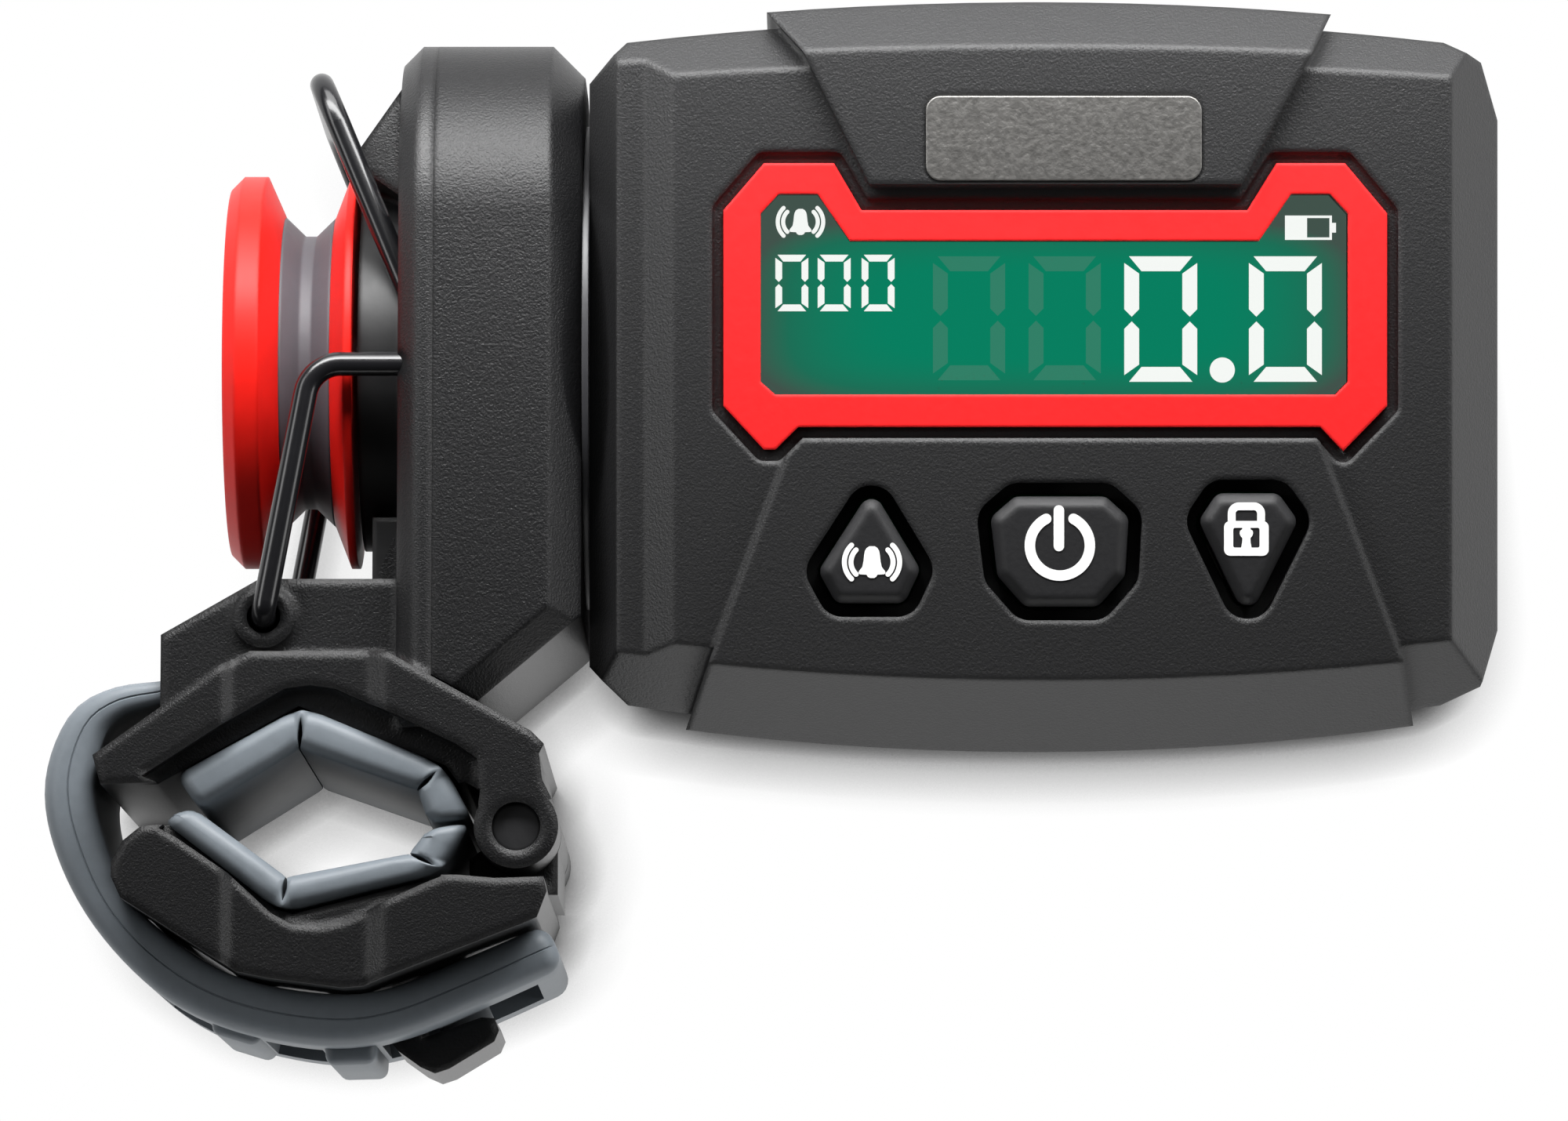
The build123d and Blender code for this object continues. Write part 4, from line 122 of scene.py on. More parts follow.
def plastic(name, color, rough, scale=1500, strength=0.35, bevel=0.0004, spread=0.12, coat=0.0, spec=0.5,
            distance=0.0001, leather=0.0, metal=0.0):
    """Surface with grain; the roughness spreads and the colour darkens with the grain's height."""
    mat, tree, out = nodes_of(name)
    bsdf = tree.nodes.new("ShaderNodeBsdfPrincipled")
    bsdf.inputs["Metallic"].default_value = metal
    bsdf.inputs["Specular IOR Level"].default_value = spec
    bsdf.inputs["Coat Weight"].default_value = coat
    bsdf.inputs["Coat Roughness"].default_value = COAT_ROUGHNESS
    normal, noise = grain(tree, scale, strength, bevel, distance, leather)
    tree.links.new(normal, bsdf.inputs["Normal"])
    ramp = tree.nodes.new("ShaderNodeMapRange")
    ramp.inputs["To Min"].default_value = rough - spread / 2
    ramp.inputs["To Max"].default_value = rough + spread / 2
    tree.links.new(noise, ramp.inputs["Value"])
    tree.links.new(ramp.outputs["Result"], bsdf.inputs["Roughness"])
    tint = tree.nodes.new("ShaderNodeMix")
    tint.data_type = "RGBA"
    tint.inputs["A"].default_value = (*(c * DARK_SHARE for c in color), 1)
    tint.inputs["B"].default_value = (*color, 1)
    tree.links.new(noise, tint.inputs["Factor"])
    tree.links.new(tint.outputs["Result"], bsdf.inputs["Base Color"])
    tree.links.new(bsdf.outputs["BSDF"], out.inputs["Surface"])
    return mat


def metal(name, color, rough, strength=0.15):
    return plastic(name, color, rough, scale=2600, strength=strength, bevel=0.00015, spread=0.15, metal=1.0)


def glow(name, color):
    """Lit mark of the display, with a weak sheen."""
    mat, tree, out = nodes_of(name)
    light = tree.nodes.new("ShaderNodeEmission")
    light.inputs["Color"].default_value = (*color, 1)
    add = tree.nodes.new("ShaderNodeAddShader")
    tree.links.new(light.outputs[0], add.inputs[0])
    tree.links.new(glossy(tree, 0.3, 0.04), add.inputs[1])
    tree.links.new(add.outputs[0], out.inputs["Surface"])
    return mat


BLACK = plastic("housing_black", (0.0105, 0.0105, 0.011), 0.42, scale=7200, strength=0.6, bevel=0.0006,
                distance=0.00006, leather=0.25)
POD_BLACK = plastic("pod_black", (0.006, 0.006, 0.0065), 0.38, scale=7200, strength=0.7, bevel=0.0006,
                    distance=0.00007, leather=0.25, spec=0.33)
BLACK_SOFT = plastic("jaw_black", (0.006, 0.006, 0.0065), 0.36, scale=8200, strength=0.65, bevel=0.0009,
                     distance=0.00006, leather=0.25, spec=0.42)
# Smooth plastic of the boss; its blacker look is painted shade behind the wheel
BOSS_SMOOTH_AND_SHADE = plastic("boss_smooth_and_painted_shade", (0.008, 0.008, 0.0085), 0.45, strength=0.08, bevel=0.0005, spec=0.4)
KEY = plastic("key_black", (0.010, 0.010, 0.011), 0.5, scale=3400, strength=0.14, bevel=0.0006, spec=0.35)
RED = plastic("wheel_red", (0.66, 0.010, 0.006), 0.42, scale=500, strength=0.05, spread=0.08, spec=0.2)
RED_TRIM = plastic("bezel_red", (0.70, 0.009, 0.010), 0.55, scale=1800, strength=0.12, bevel=0.0003,
                   spread=0.1, spec=0.25)
RUBBER = plastic("rubber_grey", (0.156, 0.178, 0.198), 0.50, scale=1600, strength=0.10, bevel=0.0, spec=0.4)
TYRE = plastic("tyre_grey", (0.075, 0.072, 0.082), 0.55, scale=1400, strength=0.15, bevel=0.0003)
BLACK_RUBBER = plastic("rubber_black", (0.012, 0.012, 0.012), 0.7, scale=1200, strength=0.2, bevel=0.0002)
WIRE = plastic("wire_black", (0.006, 0.006, 0.007), 0.24, scale=600, strength=0.04, bevel=0.0, spread=0.06,
               coat=0.15)
STEEL = metal("steel", (0.62, 0.62, 0.63), 0.28)
PIN = plastic("pin_dark", (0.010, 0.010, 0.011), 0.45, strength=0.1, bevel=0.0003)
BADGE = metal("badge_pewter", (0.23, 0.225, 0.215), 0.42, strength=0.3)
BRASS = metal("spring_bright", (0.70, 0.68, 0.62), 0.3)
GREEN_BOARD = plastic("board_green", (0.02, 0.16, 0.06), 0.35, scale=700, strength=0.1, bevel=0.0001)
CELL = plastic("cell_jacket", (0.10, 0.13, 0.19), 0.3, scale=500, strength=0.05, bevel=0.0003, metal=0.6)
HUB = plastic("hub_dark", (0.03, 0.03, 0.033), 0.4, strength=0.1, bevel=0.0002)
NATURAL = plastic("bush_natural", (0.72, 0.70, 0.64), 0.5, strength=0.1, bevel=0.0001)
LIGHT_GUIDE = plastic("light_guide", (0.55, 0.7, 0.6), 0.3, strength=0.05, bevel=0.0)
WHITE = plastic("ink_white", (0.86, 0.86, 0.85), 0.6, scale=2500, strength=0.1, bevel=0.0, spec=0.2)
LIT = glow("segment_lit", (0.93, 0.96, 0.93))
GHOST = glow("segment_ghost", (0.030, 0.215, 0.135))
# The display's fade toward its edges: middle and half of its size, and how sharply it sets in
FADE_ACROSS = (0.5, 0.52, 5.0)
FADE_UP = (0.41, 0.47, 4.0)
SCREEN_COLORS = [(0.05, (0.002, 0.215, 0.118, 1)), (0.5, (0.012, 0.160, 0.095, 1)),
                 (1.0, (0.055, 0.088, 0.072, 1))]


def fade(tree, place, middle, half, sharpness):
    """0 at the middle and about 1 at the edge, over one direction of the display."""
    off = math_node(tree, "ABSOLUTE", math_node(tree, "SUBTRACT", place, middle))
    return math_node(tree, "POWER", math_node(tree, "DIVIDE", off, half), sharpness)


def screen_material():
    """Green back light that fades to grey green at the display's edges."""
    mat, tree, out = nodes_of("screen_green")
    coord = tree.nodes.new("ShaderNodeTexCoord")
    split = tree.nodes.new("ShaderNodeSeparateXYZ")
    tree.links.new(coord.outputs["UV"], split.inputs[0])
    across, up = split.outputs[0], split.outputs[1]
    far = math_node(tree, "ADD", fade(tree, across, *FADE_ACROSS), fade(tree, up, *FADE_UP))
    node = tree.nodes.new("ShaderNodeValToRGB")
    ramp = node.color_ramp.elements
    ramp.new(SCREEN_COLORS[1][0])
    for element, (position, color) in zip(ramp, SCREEN_COLORS):
        element.position = position
        element.color = color
    tree.links.new(far, node.inputs["Fac"])
    light = tree.nodes.new("ShaderNodeEmission")
    tree.links.new(node.outputs["Color"], light.inputs["Color"])
    tree.links.new(light.outputs[0], out.inputs["Surface"])
    return mat


def window_material():
    """Clear window with a weak, soft mirror image."""
    mat, tree, out = nodes_of("window_clear")
    clear = tree.nodes.new("ShaderNodeBsdfTransparent")
    fresnel = tree.nodes.new("ShaderNodeFresnel")
    fresnel.inputs["IOR"].default_value = 1.25
    surface = mixed(tree, fresnel.outputs[0], clear.outputs[0], glossy(tree, 0.12, 0.9))
    tree.links.new(surface, out.inputs["Surface"])
    return mat


SCREEN = screen_material()
WINDOW = window_material()

LOOKS = {
    BLACK: ["head_front_cover", "head_rear_cover", "battery_door", "hub_cap"],
    POD_BLACK: ["pod_barrel"],
    BLACK_SOFT: ["clamp_bracket", "lower_jaw"],
    HUB: ["battery_tray", "buzzer", "swivel_washer", "swivel_hub", "swivel_retainer", "sensor_connector",
          "lcd_connectors", "board_chips", "hall_sensors"],
    RED: ["wheel_outer_flange", "wheel_inner_flange"],
    RED_TRIM: ["display_bezel"],
    RUBBER: ["upper_jaw_pad", "lower_jaw_pad", "rubber_strap"],
    TYRE: ["wheel_tyre"],
    BLACK_RUBBER: ["pod_gasket", "swivel_seal", "door_gasket", "keypad_mat", "sensor_cable"],
    KEY: ["alarm_key", "power_key", "lock_key"],
    WHITE: ["alarm_symbol", "power_symbol", "lock_symbol"],
    WINDOW: ["display_window"],
    SCREEN: ["lcd_panel"],
    LIT: ["lcd_segments"],
    LIGHT_GUIDE: ["backlight_guide"],
    BADGE: ["badge_plate"],
    WIRE: ["lower_guide_wires", "upper_guide_wire"],
    PIN: ["hinge_pin"],
    STEEL: ["pod_screws", "wheel_screws", "cover_screws", "board_screws", "door_screw", "wheel_axle",
            "axle_clip", "thrust_washer", "detent_spring", "wheel_magnets"],
    BRASS: ["battery_springs", "battery_contacts", "key_domes"],
    NATURAL: ["wheel_bushes"],
    GREEN_BOARD: ["main_board", "sensor_board"],
    CELL: ["battery_cells"],
}
for material, names in LOOKS.items():
    for name in names:
        mesh = NODES[name].data
        mesh.materials.clear()
        mesh.materials.append(material)

# The boss behind the wheel is smoother than the jaw below it. Its faces, picked out by place, also get a
# blacker look, which is painted shade behind the wheel
BOSS_RIGHT = 6.2
BOSS_LOW = 17.2
BOSS_HIGH = 39.0
bracket = NODES["clamp_bracket"].data
bracket.materials.append(BOSS_SMOOTH_AND_SHADE)
for face in bracket.polygons:
    if face.center.x < BOSS_RIGHT * MM and BOSS_LOW * MM < face.center.z < BOSS_HIGH * MM:
        face.material_index = 1


# Mesh helpers
def turn_outward(mesh):
    """Turns a closed mesh's faces to its outside."""
    mesh.calc_loop_triangles()
    corners = [[mesh.vertices[i].co for i in triangle.vertices] for triangle in mesh.loop_triangles]
    if sum(a.dot(b.cross(c)) for a, b, c in corners) < 0:
        mesh.flip_normals()


def make(name, points, faces, material, matrix=None, smooth=True, closed=True):
    """Object of points in millimetres, with one material."""
    mesh = bpy.data.meshes.new(name)
    mesh.from_pydata([Vector(p) * MM for p in points], [], faces)
    if matrix is not None:
        mesh.transform(matrix)
    mesh.validate()
    mesh.update()
    if closed:
        turn_outward(mesh)
    mesh.materials.append(material)
    obj = bpy.data.objects.new(name, mesh)
    bpy.context.scene.collection.objects.link(obj)
    if smooth:
        for poly in mesh.polygons:
            poly.use_smooth = True
    return obj


def slab(name, outline, y0, y1, material, matrix=None, smooth=False):
    """Prism of an XZ outline between two depths."""
    n = len(outline)
    points = [(x, y, z) for y in (y0, y1) for x, z in outline]
    faces = [tuple(range(n)), tuple(reversed(range(n, 2 * n)))]
    faces += [(i, i + n, (i + 1) % n + n, (i + 1) % n) for i in range(n)]
    return make(name, points, faces, material, matrix, smooth)


def merged(name, parts):
    """One object from several, all with the same material."""
    points, faces = [], []
    material = parts[0].data.materials[0]
    for part in parts:
        mesh, base = part.data, len(points)
        points += [tuple(v.co / MM) for v in mesh.vertices]
        faces += [tuple(base + i for i in poly.vertices) for poly in mesh.polygons]
        bpy.data.objects.remove(part)
        bpy.data.meshes.remove(mesh)
    return make(name, points, faces, material, smooth=False)


def ring_faces(index, count, left_out=()):
    """Faces between a section and the next one, which has as many points."""
    low, high = index * count, (index + 1) * count
    return [(low + k, low + (k + 1) % count, high + (k + 1) % count, high + k)
            for k in range(count) if k not in left_out]


def end_faces(sections, count):
    last = (sections - 1) * count
    return [tuple(reversed(range(count))), tuple(range(last, last + count))]


def lerp(a, b, t):
    return (a[0] + (b[0] - a[0]) * t, a[1] + (b[1] - a[1]) * t)


def toward(a, b, reach):
    """Point at a distance from a on the way to b."""
    return lerp(a, b, reach / math.dist(a, b))


# Strap
# Centre line from the bracket round to the free end: x, z and thickness
STRAP = [(-8.4, 7.55, 1.4), (-11.4, 6.9, 1.9), (-13.35, 5.3, 2.6), (-14.35, 1.7, 3.0), (-13.55, -2.2, 3.1),
         (-11.45, -6.35, 2.8), (-7.75, -9.85, 3.2), (-3.6, -11.9, 3.2), (1.8, -12.85, 3.3), (5.9, -12.4, 3.1),
         (10.85, -10.45, 3.05), (15.95, -8.2, 2.95)]
STRAP_HALF = 12.0
STRAP_ROUND = 1.15
STRAP_GROOVE = 0.1               # depth of the line along the strap's sides
STRAP_GROOVE_HALF = 0.08
TONGUE = [(-8.6, 7.0), (-5.5, 7.05), (-5.5, 8.45), (-8.6, 8.3)]
TONGUE_HALF = 8.4
SLOT_HALF = 7.0
SLOT_LENGTH = 3.4
SLOT_PITCH = 6.7
SLOT_MARGIN = 3.7                # middle of the last slot to the free end
SLOT_COUNT = 5
LUG_HALF = 9.0
LUG_HEIGHTS = [1.0, 0.5]         # from the free end
LUG_SEAT = 0.6                   # how far a rib reaches into the strap
LUG_TOP_SHARE = 0.92
LUG_ROUND = 0.55
STEPS_PER_SPAN = 20
STATION_STEP = 0.7
ROUND_STEPS = 6
STRAP_END_STEPS = 5
STRAP_SHARP = 40                 # degrees
THINNEST = 0.05


def catmull(p0, p1, p2, p3, t):
    """Point of the smooth curve from p1 to p2."""
    return tuple(0.5 * (2 * b + (c - a) * t + (2 * a - 5 * b + 4 * c - d) * t * t
                        + (3 * b - a - 3 * c + d) * t ** 3)
                 for a, b, c, d in zip(p0, p1, p2, p3))


def strap_path():
    """Dense points of the strap's centre line: x, z, thickness and length so far."""
    first = tuple(2 * a - b for a, b in zip(STRAP[0], STRAP[1]))
    last = tuple(2 * a - b for a, b in zip(STRAP[-1], STRAP[-2]))
    ctrl = [first] + STRAP + [last]
    dense = [catmull(*ctrl[i - 1:i + 3], k / STEPS_PER_SPAN)
             for i in range(1, len(ctrl) - 2) for k in range(STEPS_PER_SPAN)]
    dense.append(ctrl[-2])
    length, rows = 0.0, []
    for i, point in enumerate(dense):
        if i:
            length += math.dist(point[:2], dense[i - 1][:2])
        rows.append(point + (length,))
    return rows


def along(rows, place):
    """Centre, thickness and direction of the strap at a length along it."""
    place = min(max(place, 0), rows[-1][3])
    for a, b in zip(rows, rows[1:]):
        if b[3] >= place:
            t = (place - a[3]) / max(b[3] - a[3], 1e-9)
            x, z, thick = (a[k] + (b[k] - a[k]) * t for k in range(3))
            dx, dz = b[0] - a[0], b[1] - a[1]
            size = math.hypot(dx, dz)
            return x, z, thick, dx / size, dz / size


def strap_section(half, thick, radius):
    """Rounded section of the band, as width and offset; starts and ends at the slots' upper edge."""
    rise = thick / 2
    side = [(SLOT_HALF, rise)]
    for k in range(ROUND_STEPS + 1):
        angle = math.pi / 2 * (1 - k / ROUND_STEPS)
        side.append((half - radius + radius * math.cos(angle), rise - radius + radius * math.sin(angle)))
    side += [(half, STRAP_GROOVE_HALF), (half - STRAP_GROOVE, 0.0)]
    side += [(w, -h) for w, h in reversed(side[:-1])]
    return side + [(-w, h) for w, h in reversed(side)]


def strap_slots(total):
    """Start and end of each slot along the strap."""
    middles = [total - SLOT_MARGIN - SLOT_PITCH * i for i in range(SLOT_COUNT)]
    return [(middle - SLOT_LENGTH / 2, middle + SLOT_LENGTH / 2) for middle in middles]


def strap_stations(total, slots):
    """Lengths along the strap that have a section, closest together round its free end."""
    marks = sorted({0.0, total - STRAP_ROUND} | {edge for slot in slots for edge in slot})
    stations = []
    for a, b in zip(marks, marks[1:]):
        steps = max(1, int((b - a) / STATION_STEP))
        stations += [a + (b - a) * k / steps for k in range(steps)]
    turns = [math.sin(math.pi / 2 * k / STRAP_END_STEPS) for k in range(STRAP_END_STEPS + 1)]
    return stations + [total - STRAP_ROUND * (1 - turn) for turn in turns]


def strap_points(rows, stations):
    """Points of every section in turn, which shrink round the free end."""
    total = rows[-1][3]
    points = []
    for place in stations:
        x, z, thick, dx, dz = along(rows, place)
        over = max(0.0, (place - total + STRAP_ROUND) / STRAP_ROUND)
        shrink = STRAP_ROUND * (1 - math.sqrt(max(0.0, 1 - over * over)))
        radius = max(min(STRAP_ROUND, thick / 2 - 2 * THINNEST) - shrink, THINNEST)
        loop = strap_section(STRAP_HALF - shrink, thick - 2 * shrink, radius)
        points += [(x + dz * h, w, z - dx * h) for w, h in loop]
    return points


def strap_faces(stations, slots, count):
    """Faces of the band, open at the slots, with the slots' walls."""
    half = count // 2
    faces = []
    for i, (start, end) in enumerate(zip(stations, stations[1:])):
        if not any(a < (start + end) / 2 < b for a, b in slots):
            faces += ring_faces(i, count)
            continue
        low, high = i * count, (i + 1) * count
        faces += ring_faces(i, count, (half - 1, count - 1))
        faces += [(low, high, high + half - 1, low + half - 1),
                  (low + count - 1, low + half, high + half, high + count - 1)]
    for slot in slots:
        for edge, turn in zip(slot, (1, -1)):
            i = min(range(len(stations)), key=lambda k: abs(stations[k] - edge)) * count
            faces.append((i, i + half - 1, i + half, i + count - 1)[::turn])
    return faces + end_faces(len(stations), count)


def strap(rows):
    slots = strap_slots(rows[-1][3])
    stations = strap_stations(rows[-1][3], slots)
    points = strap_points(rows, stations)
    faces = strap_faces(stations, slots, len(points) // len(stations))
    obj = make("strap_rubber", points, faces, RUBBER)
    obj.data.set_sharp_from_angle(angle=math.radians(STRAP_SHARP))
    return obj


def round_edges(obj, width):
    mod = obj.modifiers.new("round", "BEVEL")
    mod.width = width * MM
    mod.segments = 4
    mod.limit_method = "ANGLE"
    mod.angle_limit = math.radians(30)


def strap_lug(rows, place, height, name):
    """Rounded rib across the strap, on its outer side."""
    x, z, thick, dx, dz = along(rows, place)
    half = (SLOT_PITCH - SLOT_LENGTH) / 2
    base, top = thick / 2 - LUG_SEAT, thick / 2 + height
    corners = ((-half, base), (half, base), (half * LUG_TOP_SHARE, top), (-half * LUG_TOP_SHARE, top))
    outline = [(x + dx * s + dz * h, z + dz * s - dx * h) for s, h in corners]
    obj = slab(name, outline, -LUG_HALF, LUG_HALF, RUBBER, smooth=True)
    round_edges(obj, LUG_ROUND)
    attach(obj, "lower_jaw")


strap_rows = strap_path()
strap_piece = strap(strap_rows)
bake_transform(strap_piece)
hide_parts("rubber_strap")
tongue_piece = slab("strap_tongue", TONGUE, -TONGUE_HALF, TONGUE_HALF, RUBBER)
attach(tongue_piece, "bracket")
for number, lug_height in enumerate(LUG_HEIGHTS, 1):
    lug_place = strap_rows[-1][3] - SLOT_MARGIN - SLOT_PITCH * (number + 0.5)
    strap_lug(strap_rows, lug_place, lug_height, "strap_lug_%d" % number)


# Pads
PAD_HALF = 15.0
PAD_ROUND = 0.95
PAD_ROUND_STEPS = 5
PAD_SHARP = 50                   # degrees
NARROWEST = 0.04
END_STEPS = [(0.0, 0.62), (0.12, 0.3), (0.35, 0.1), (0.75, 0.0)]      # how far in, and how much smaller
FOLD_ROUND = 1.5
# Sections from the start of a fold to its middle: share of the way left, how far along, how deep the slit is
fold_shares = [(1.0, 1.6, 0.0), (0.82, 0.9, 0.0), (0.62, 0.35, 0.0), (0.46, 0.05, 0.02), (0.36, 0.11, 0.14),
               (0.26, 0.21, 0.32), (0.16, 0.2, 0.5), (0.08, 0.09, 0.62)]
SLIT_SHARE = 0.66
# Each station gives the outer and inner corner of the front face, and True at a fold with a slit
UPPER_PAD = [((-7.5, 2.1), (-5.95, -0.1), False), ((0.3, 6.4), (0.15, 3.7), True),
             ((9.1, 2.7), (7.45, 1.15), True), ((10.85, -0.6), (8.2, -0.95), False)]
LOWER_PAD = [((10.75, -0.85), (8.15, -1.2), False), ((9.2, -3.9), (6.95, -2.75), True),
             ((-0.9, -6.45), (-0.6, -4.2), True), ((-8.3, -0.75), (-6.5, 0.15), False)]


def pad_section(outer, inner, shrink=0.0):
    """Closed rounded section between two corners, through the whole depth of the pad."""
    width = math.dist(outer, inner)
    ux, uz = (inner[0] - outer[0]) / width, (inner[1] - outer[1]) / width
    radius = max(min(PAD_ROUND, width / 2 - 0.06) - shrink * 0.5, NARROWEST)
    near, far, deep = shrink + radius, width - shrink - radius, PAD_HALF - shrink - radius
    loop = []
    for cw, cy, start in ((near, deep, 180), (far, deep, 90), (far, -deep, 0), (near, -deep, -90)):
        for k in range(PAD_ROUND_STEPS + 1):
            angle = math.radians(start - 90 * k / PAD_ROUND_STEPS)
            loop.append((cw + radius * math.cos(angle), cy + radius * math.sin(angle)))
    return [(outer[0] + ux * w, y, outer[1] + uz * w) for w, y in loop]


def end_sections(station, far, last):
    """Sections of a rounded end of the pad."""
    rows = [pad_section(toward(station[0], far[0], reach), toward(station[1], far[1], reach), shrink)
            for reach, shrink in END_STEPS]
    return rows[::-1] if last else rows


def fold_sections(station, before, after):
    """Sections through a fold: round outside, and a slit that is widest at half its depth inside."""
    outer, inner = station[:2]
    start, end = toward(outer, before[0], FOLD_ROUND), toward(outer, after[0], FOLD_ROUND)
    rows = []
    for side, far in ((-1, before), (1, after)):
        part = []
        for place, reach, depth in fold_shares:
            t = 0.5 + side * place / 2
            corner = lerp(lerp(start, outer, t), lerp(outer, end, t), t)
            point = lerp(toward(inner, far[1], reach), outer, depth)
            part.append(pad_section(corner, point))
        rows += part if side < 0 else part[::-1]
    middle = lerp(lerp(start, outer, 0.5), lerp(outer, end, 0.5), 0.5)
    rows.insert(len(fold_shares), pad_section(middle, lerp(inner, outer, SLIT_SHARE)))
    return rows


def pad(name, stations, body, node):
    """Rubber pad with fat rounded faces, round ends and a slit at each inner fold."""
    sections = []
    for i, station in enumerate(stations):
        if station[2]:
            sections += fold_sections(station, stations[i - 1], stations[i + 1])
        else:
            sections += end_sections(station, stations[i - 1 if i else 1], bool(i))
    count = len(sections[0])
    points = [point for loop in sections for point in loop]
    faces = [face for i in range(len(sections) - 1) for face in ring_faces(i, count)]
    obj = make(name, points, faces + end_faces(len(sections), count), RUBBER)
    obj.data.set_sharp_from_angle(angle=math.radians(PAD_SHARP))
    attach(obj, body)
    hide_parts(node)


pad("pad_upper", UPPER_PAD, "bracket", "upper_jaw_pad")
pad("pad_lower", LOWER_PAD, "lower_jaw", "lower_jaw_pad")


# Display
SCREEN_Y = -15.2
SCREEN_DEPTH = 1.7
SCREEN_LEFT, SCREEN_RIGHT, SCREEN_LOW, SCREEN_HIGH = 28.0, 65.6, -2.6, 11.0
LIT_LEFT, LIT_LOW, LIT_WIDTH, LIT_HEIGHT = 28.7, -2.0, 36.2, 12.4
MARK_BACK = 0.02                 # marks in front of the display: their back, and the fronts of both kinds
LIT_FRONT, GHOST_FRONT = 0.08, 0.05
BAR_GAP_SHARE = 0.16
MITRE_SHARE = 0.45


def head_slab(name, outline, y0, y1, material):
    """Prism in the head's own frame."""
    return slab(name, outline, y0, y1, material, HEAD)


def screen():
    """Display panel, with a map of its lit area from corner to corner."""
    outline = [(SCREEN_LEFT, SCREEN_LOW), (SCREEN_RIGHT, SCREEN_LOW), (SCREEN_RIGHT, SCREEN_HIGH),
               (SCREEN_LEFT, SCREEN_HIGH)]
    obj = head_slab("screen", outline, SCREEN_Y, SCREEN_Y + SCREEN_DEPTH, SCREEN)
    layer = obj.data.uv_layers.new(name="UV")
    inverse = HEAD.inverted()
    for loop in obj.data.loops:
        place = inverse @ obj.data.vertices[loop.vertex_index].co
        across, up = place.x / MM - LIT_LEFT, place.z / MM - LIT_LOW
        layer.data[loop.index].uv = (across / LIT_WIDTH, up / LIT_HEIGHT)
    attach(obj, "head")
    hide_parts("lcd_panel")


def zero_digit(x, z, w, h, bar):
    """Outlines of the six bars of a seven-segment 0, with mitred ends."""
    gap, half, b = bar * BAR_GAP_SHARE, z + h / 2, bar / 2
    left, right = x + b + gap, x + w - b - gap
    shapes = []
    for middle, rise in ((z + h - b, b), (z + b, -b)):
        shapes.append([(left - b + gap, middle + rise), (right + b - gap, middle + rise),
                       (right - b, middle - rise), (left + b, middle - rise)])
    for outer, inner in ((x, x + bar), (x + w, x + w - bar)):
        for end, way in ((z + h, 1), (z, -1)):
            start = half + way * (gap + b)
            shapes.append([(outer, end - way * bar * MITRE_SHARE), (inner, end - way * (bar + gap)),
                           (inner, start), ((outer + inner) / 2, half + way * gap), (outer, start)])
    return shapes


def disc(x, z, radius, steps=40):
    return [(x + radius * math.cos(2 * math.pi * i / steps), z + radius * math.sin(2 * math.pi * i / steps))
            for i in range(steps)]


def arc_path(x, z, radius, start, end, steps=24):
    angles = [math.radians(start + (end - start) * k / steps) for k in range(steps + 1)]
    return [(x + radius * math.cos(a), z + radius * math.sin(a)) for a in angles]


def stroke(path, half, steps=8):
    """Outline of a line of constant width with round ends, along the given points."""
    left, right, caps = [], [], []
    last = len(path) - 1
    for i, (x, z) in enumerate(path):
        (ax, az), (bx, bz) = path[max(i - 1, 0)], path[min(i + 1, last)]
        size = math.dist((ax, az), (bx, bz))
        dx, dz = (bx - ax) / size, (bz - az) / size
        left.append((x - dz * half, z + dx * half))
        right.append((x + dz * half, z - dx * half))
        if i in (0, last):
            start = math.atan2(dz, dx) + (-math.pi / 2 if i else math.pi / 2)
            angles = [start + math.pi * k / steps for k in range(1, steps)]
            caps.append([(x + half * math.cos(a), z + half * math.sin(a)) for a in angles])
    return right + caps[1] + left[::-1] + caps[0]


# Right half of the bell, from the crown to the clapper, of its half height
bell_shares = [(0.16, 0.98), (0.33, 0.88), (0.44, 0.70), (0.49, 0.45), (0.53, 0.05), (0.60, -0.30),
               (0.80, -0.55), (0.84, -0.68), (0.76, -0.76), (0.34, -0.78), (0.26, -0.92), (0.12, -0.99)]
wave_shares = (1.05, 1.46)
WAVE_SPAN = 46                   # degrees each side of level
WAVE_SHIFT_SHARE = 0.26
WAVE_HALF_SHARE = 0.155


def bell(x, z, size):
    """Bell with two sound waves each side; the size is its half height."""
    half = [(size * a, size * b) for a, b in bell_shares]
    shapes = [[(x + a, z + b) for a, b in half] + [(x - a, z + b) for a, b in reversed(half)]]
    for share in wave_shares:
        for side, middle in ((1, 0), (-1, 180)):
            centre = x + side * size * WAVE_SHIFT_SHARE
            path = arc_path(centre, z, size * share, middle - WAVE_SPAN, middle + WAVE_SPAN)
            shapes.append(stroke(path, size * WAVE_HALF_SHARE))
    return shapes


def round_box(x0, x1, z0, z1, radius, steps=6):
    """Rectangle with round corners, anticlockwise from the right bottom corner."""
    loop = []
    for cx, cz, start in ((x1 - radius, z0 + radius, -90), (x1 - radius, z1 - radius, 0),
                          (x0 + radius, z1 - radius, 90), (x0 + radius, z0 + radius, 180)):
        for k in range(steps + 1):
            angle = math.radians(start + 90 * k / steps)
            loop.append((cx + radius * math.cos(angle), cz + radius * math.sin(angle)))
    return loop


def band_between(outer, inner):
    """Four-sided pieces between two loops of as many points."""
    count = len(outer)
    return [[outer[k], outer[(k + 1) % count], inner[(k + 1) % count], inner[k]] for k in range(count)]


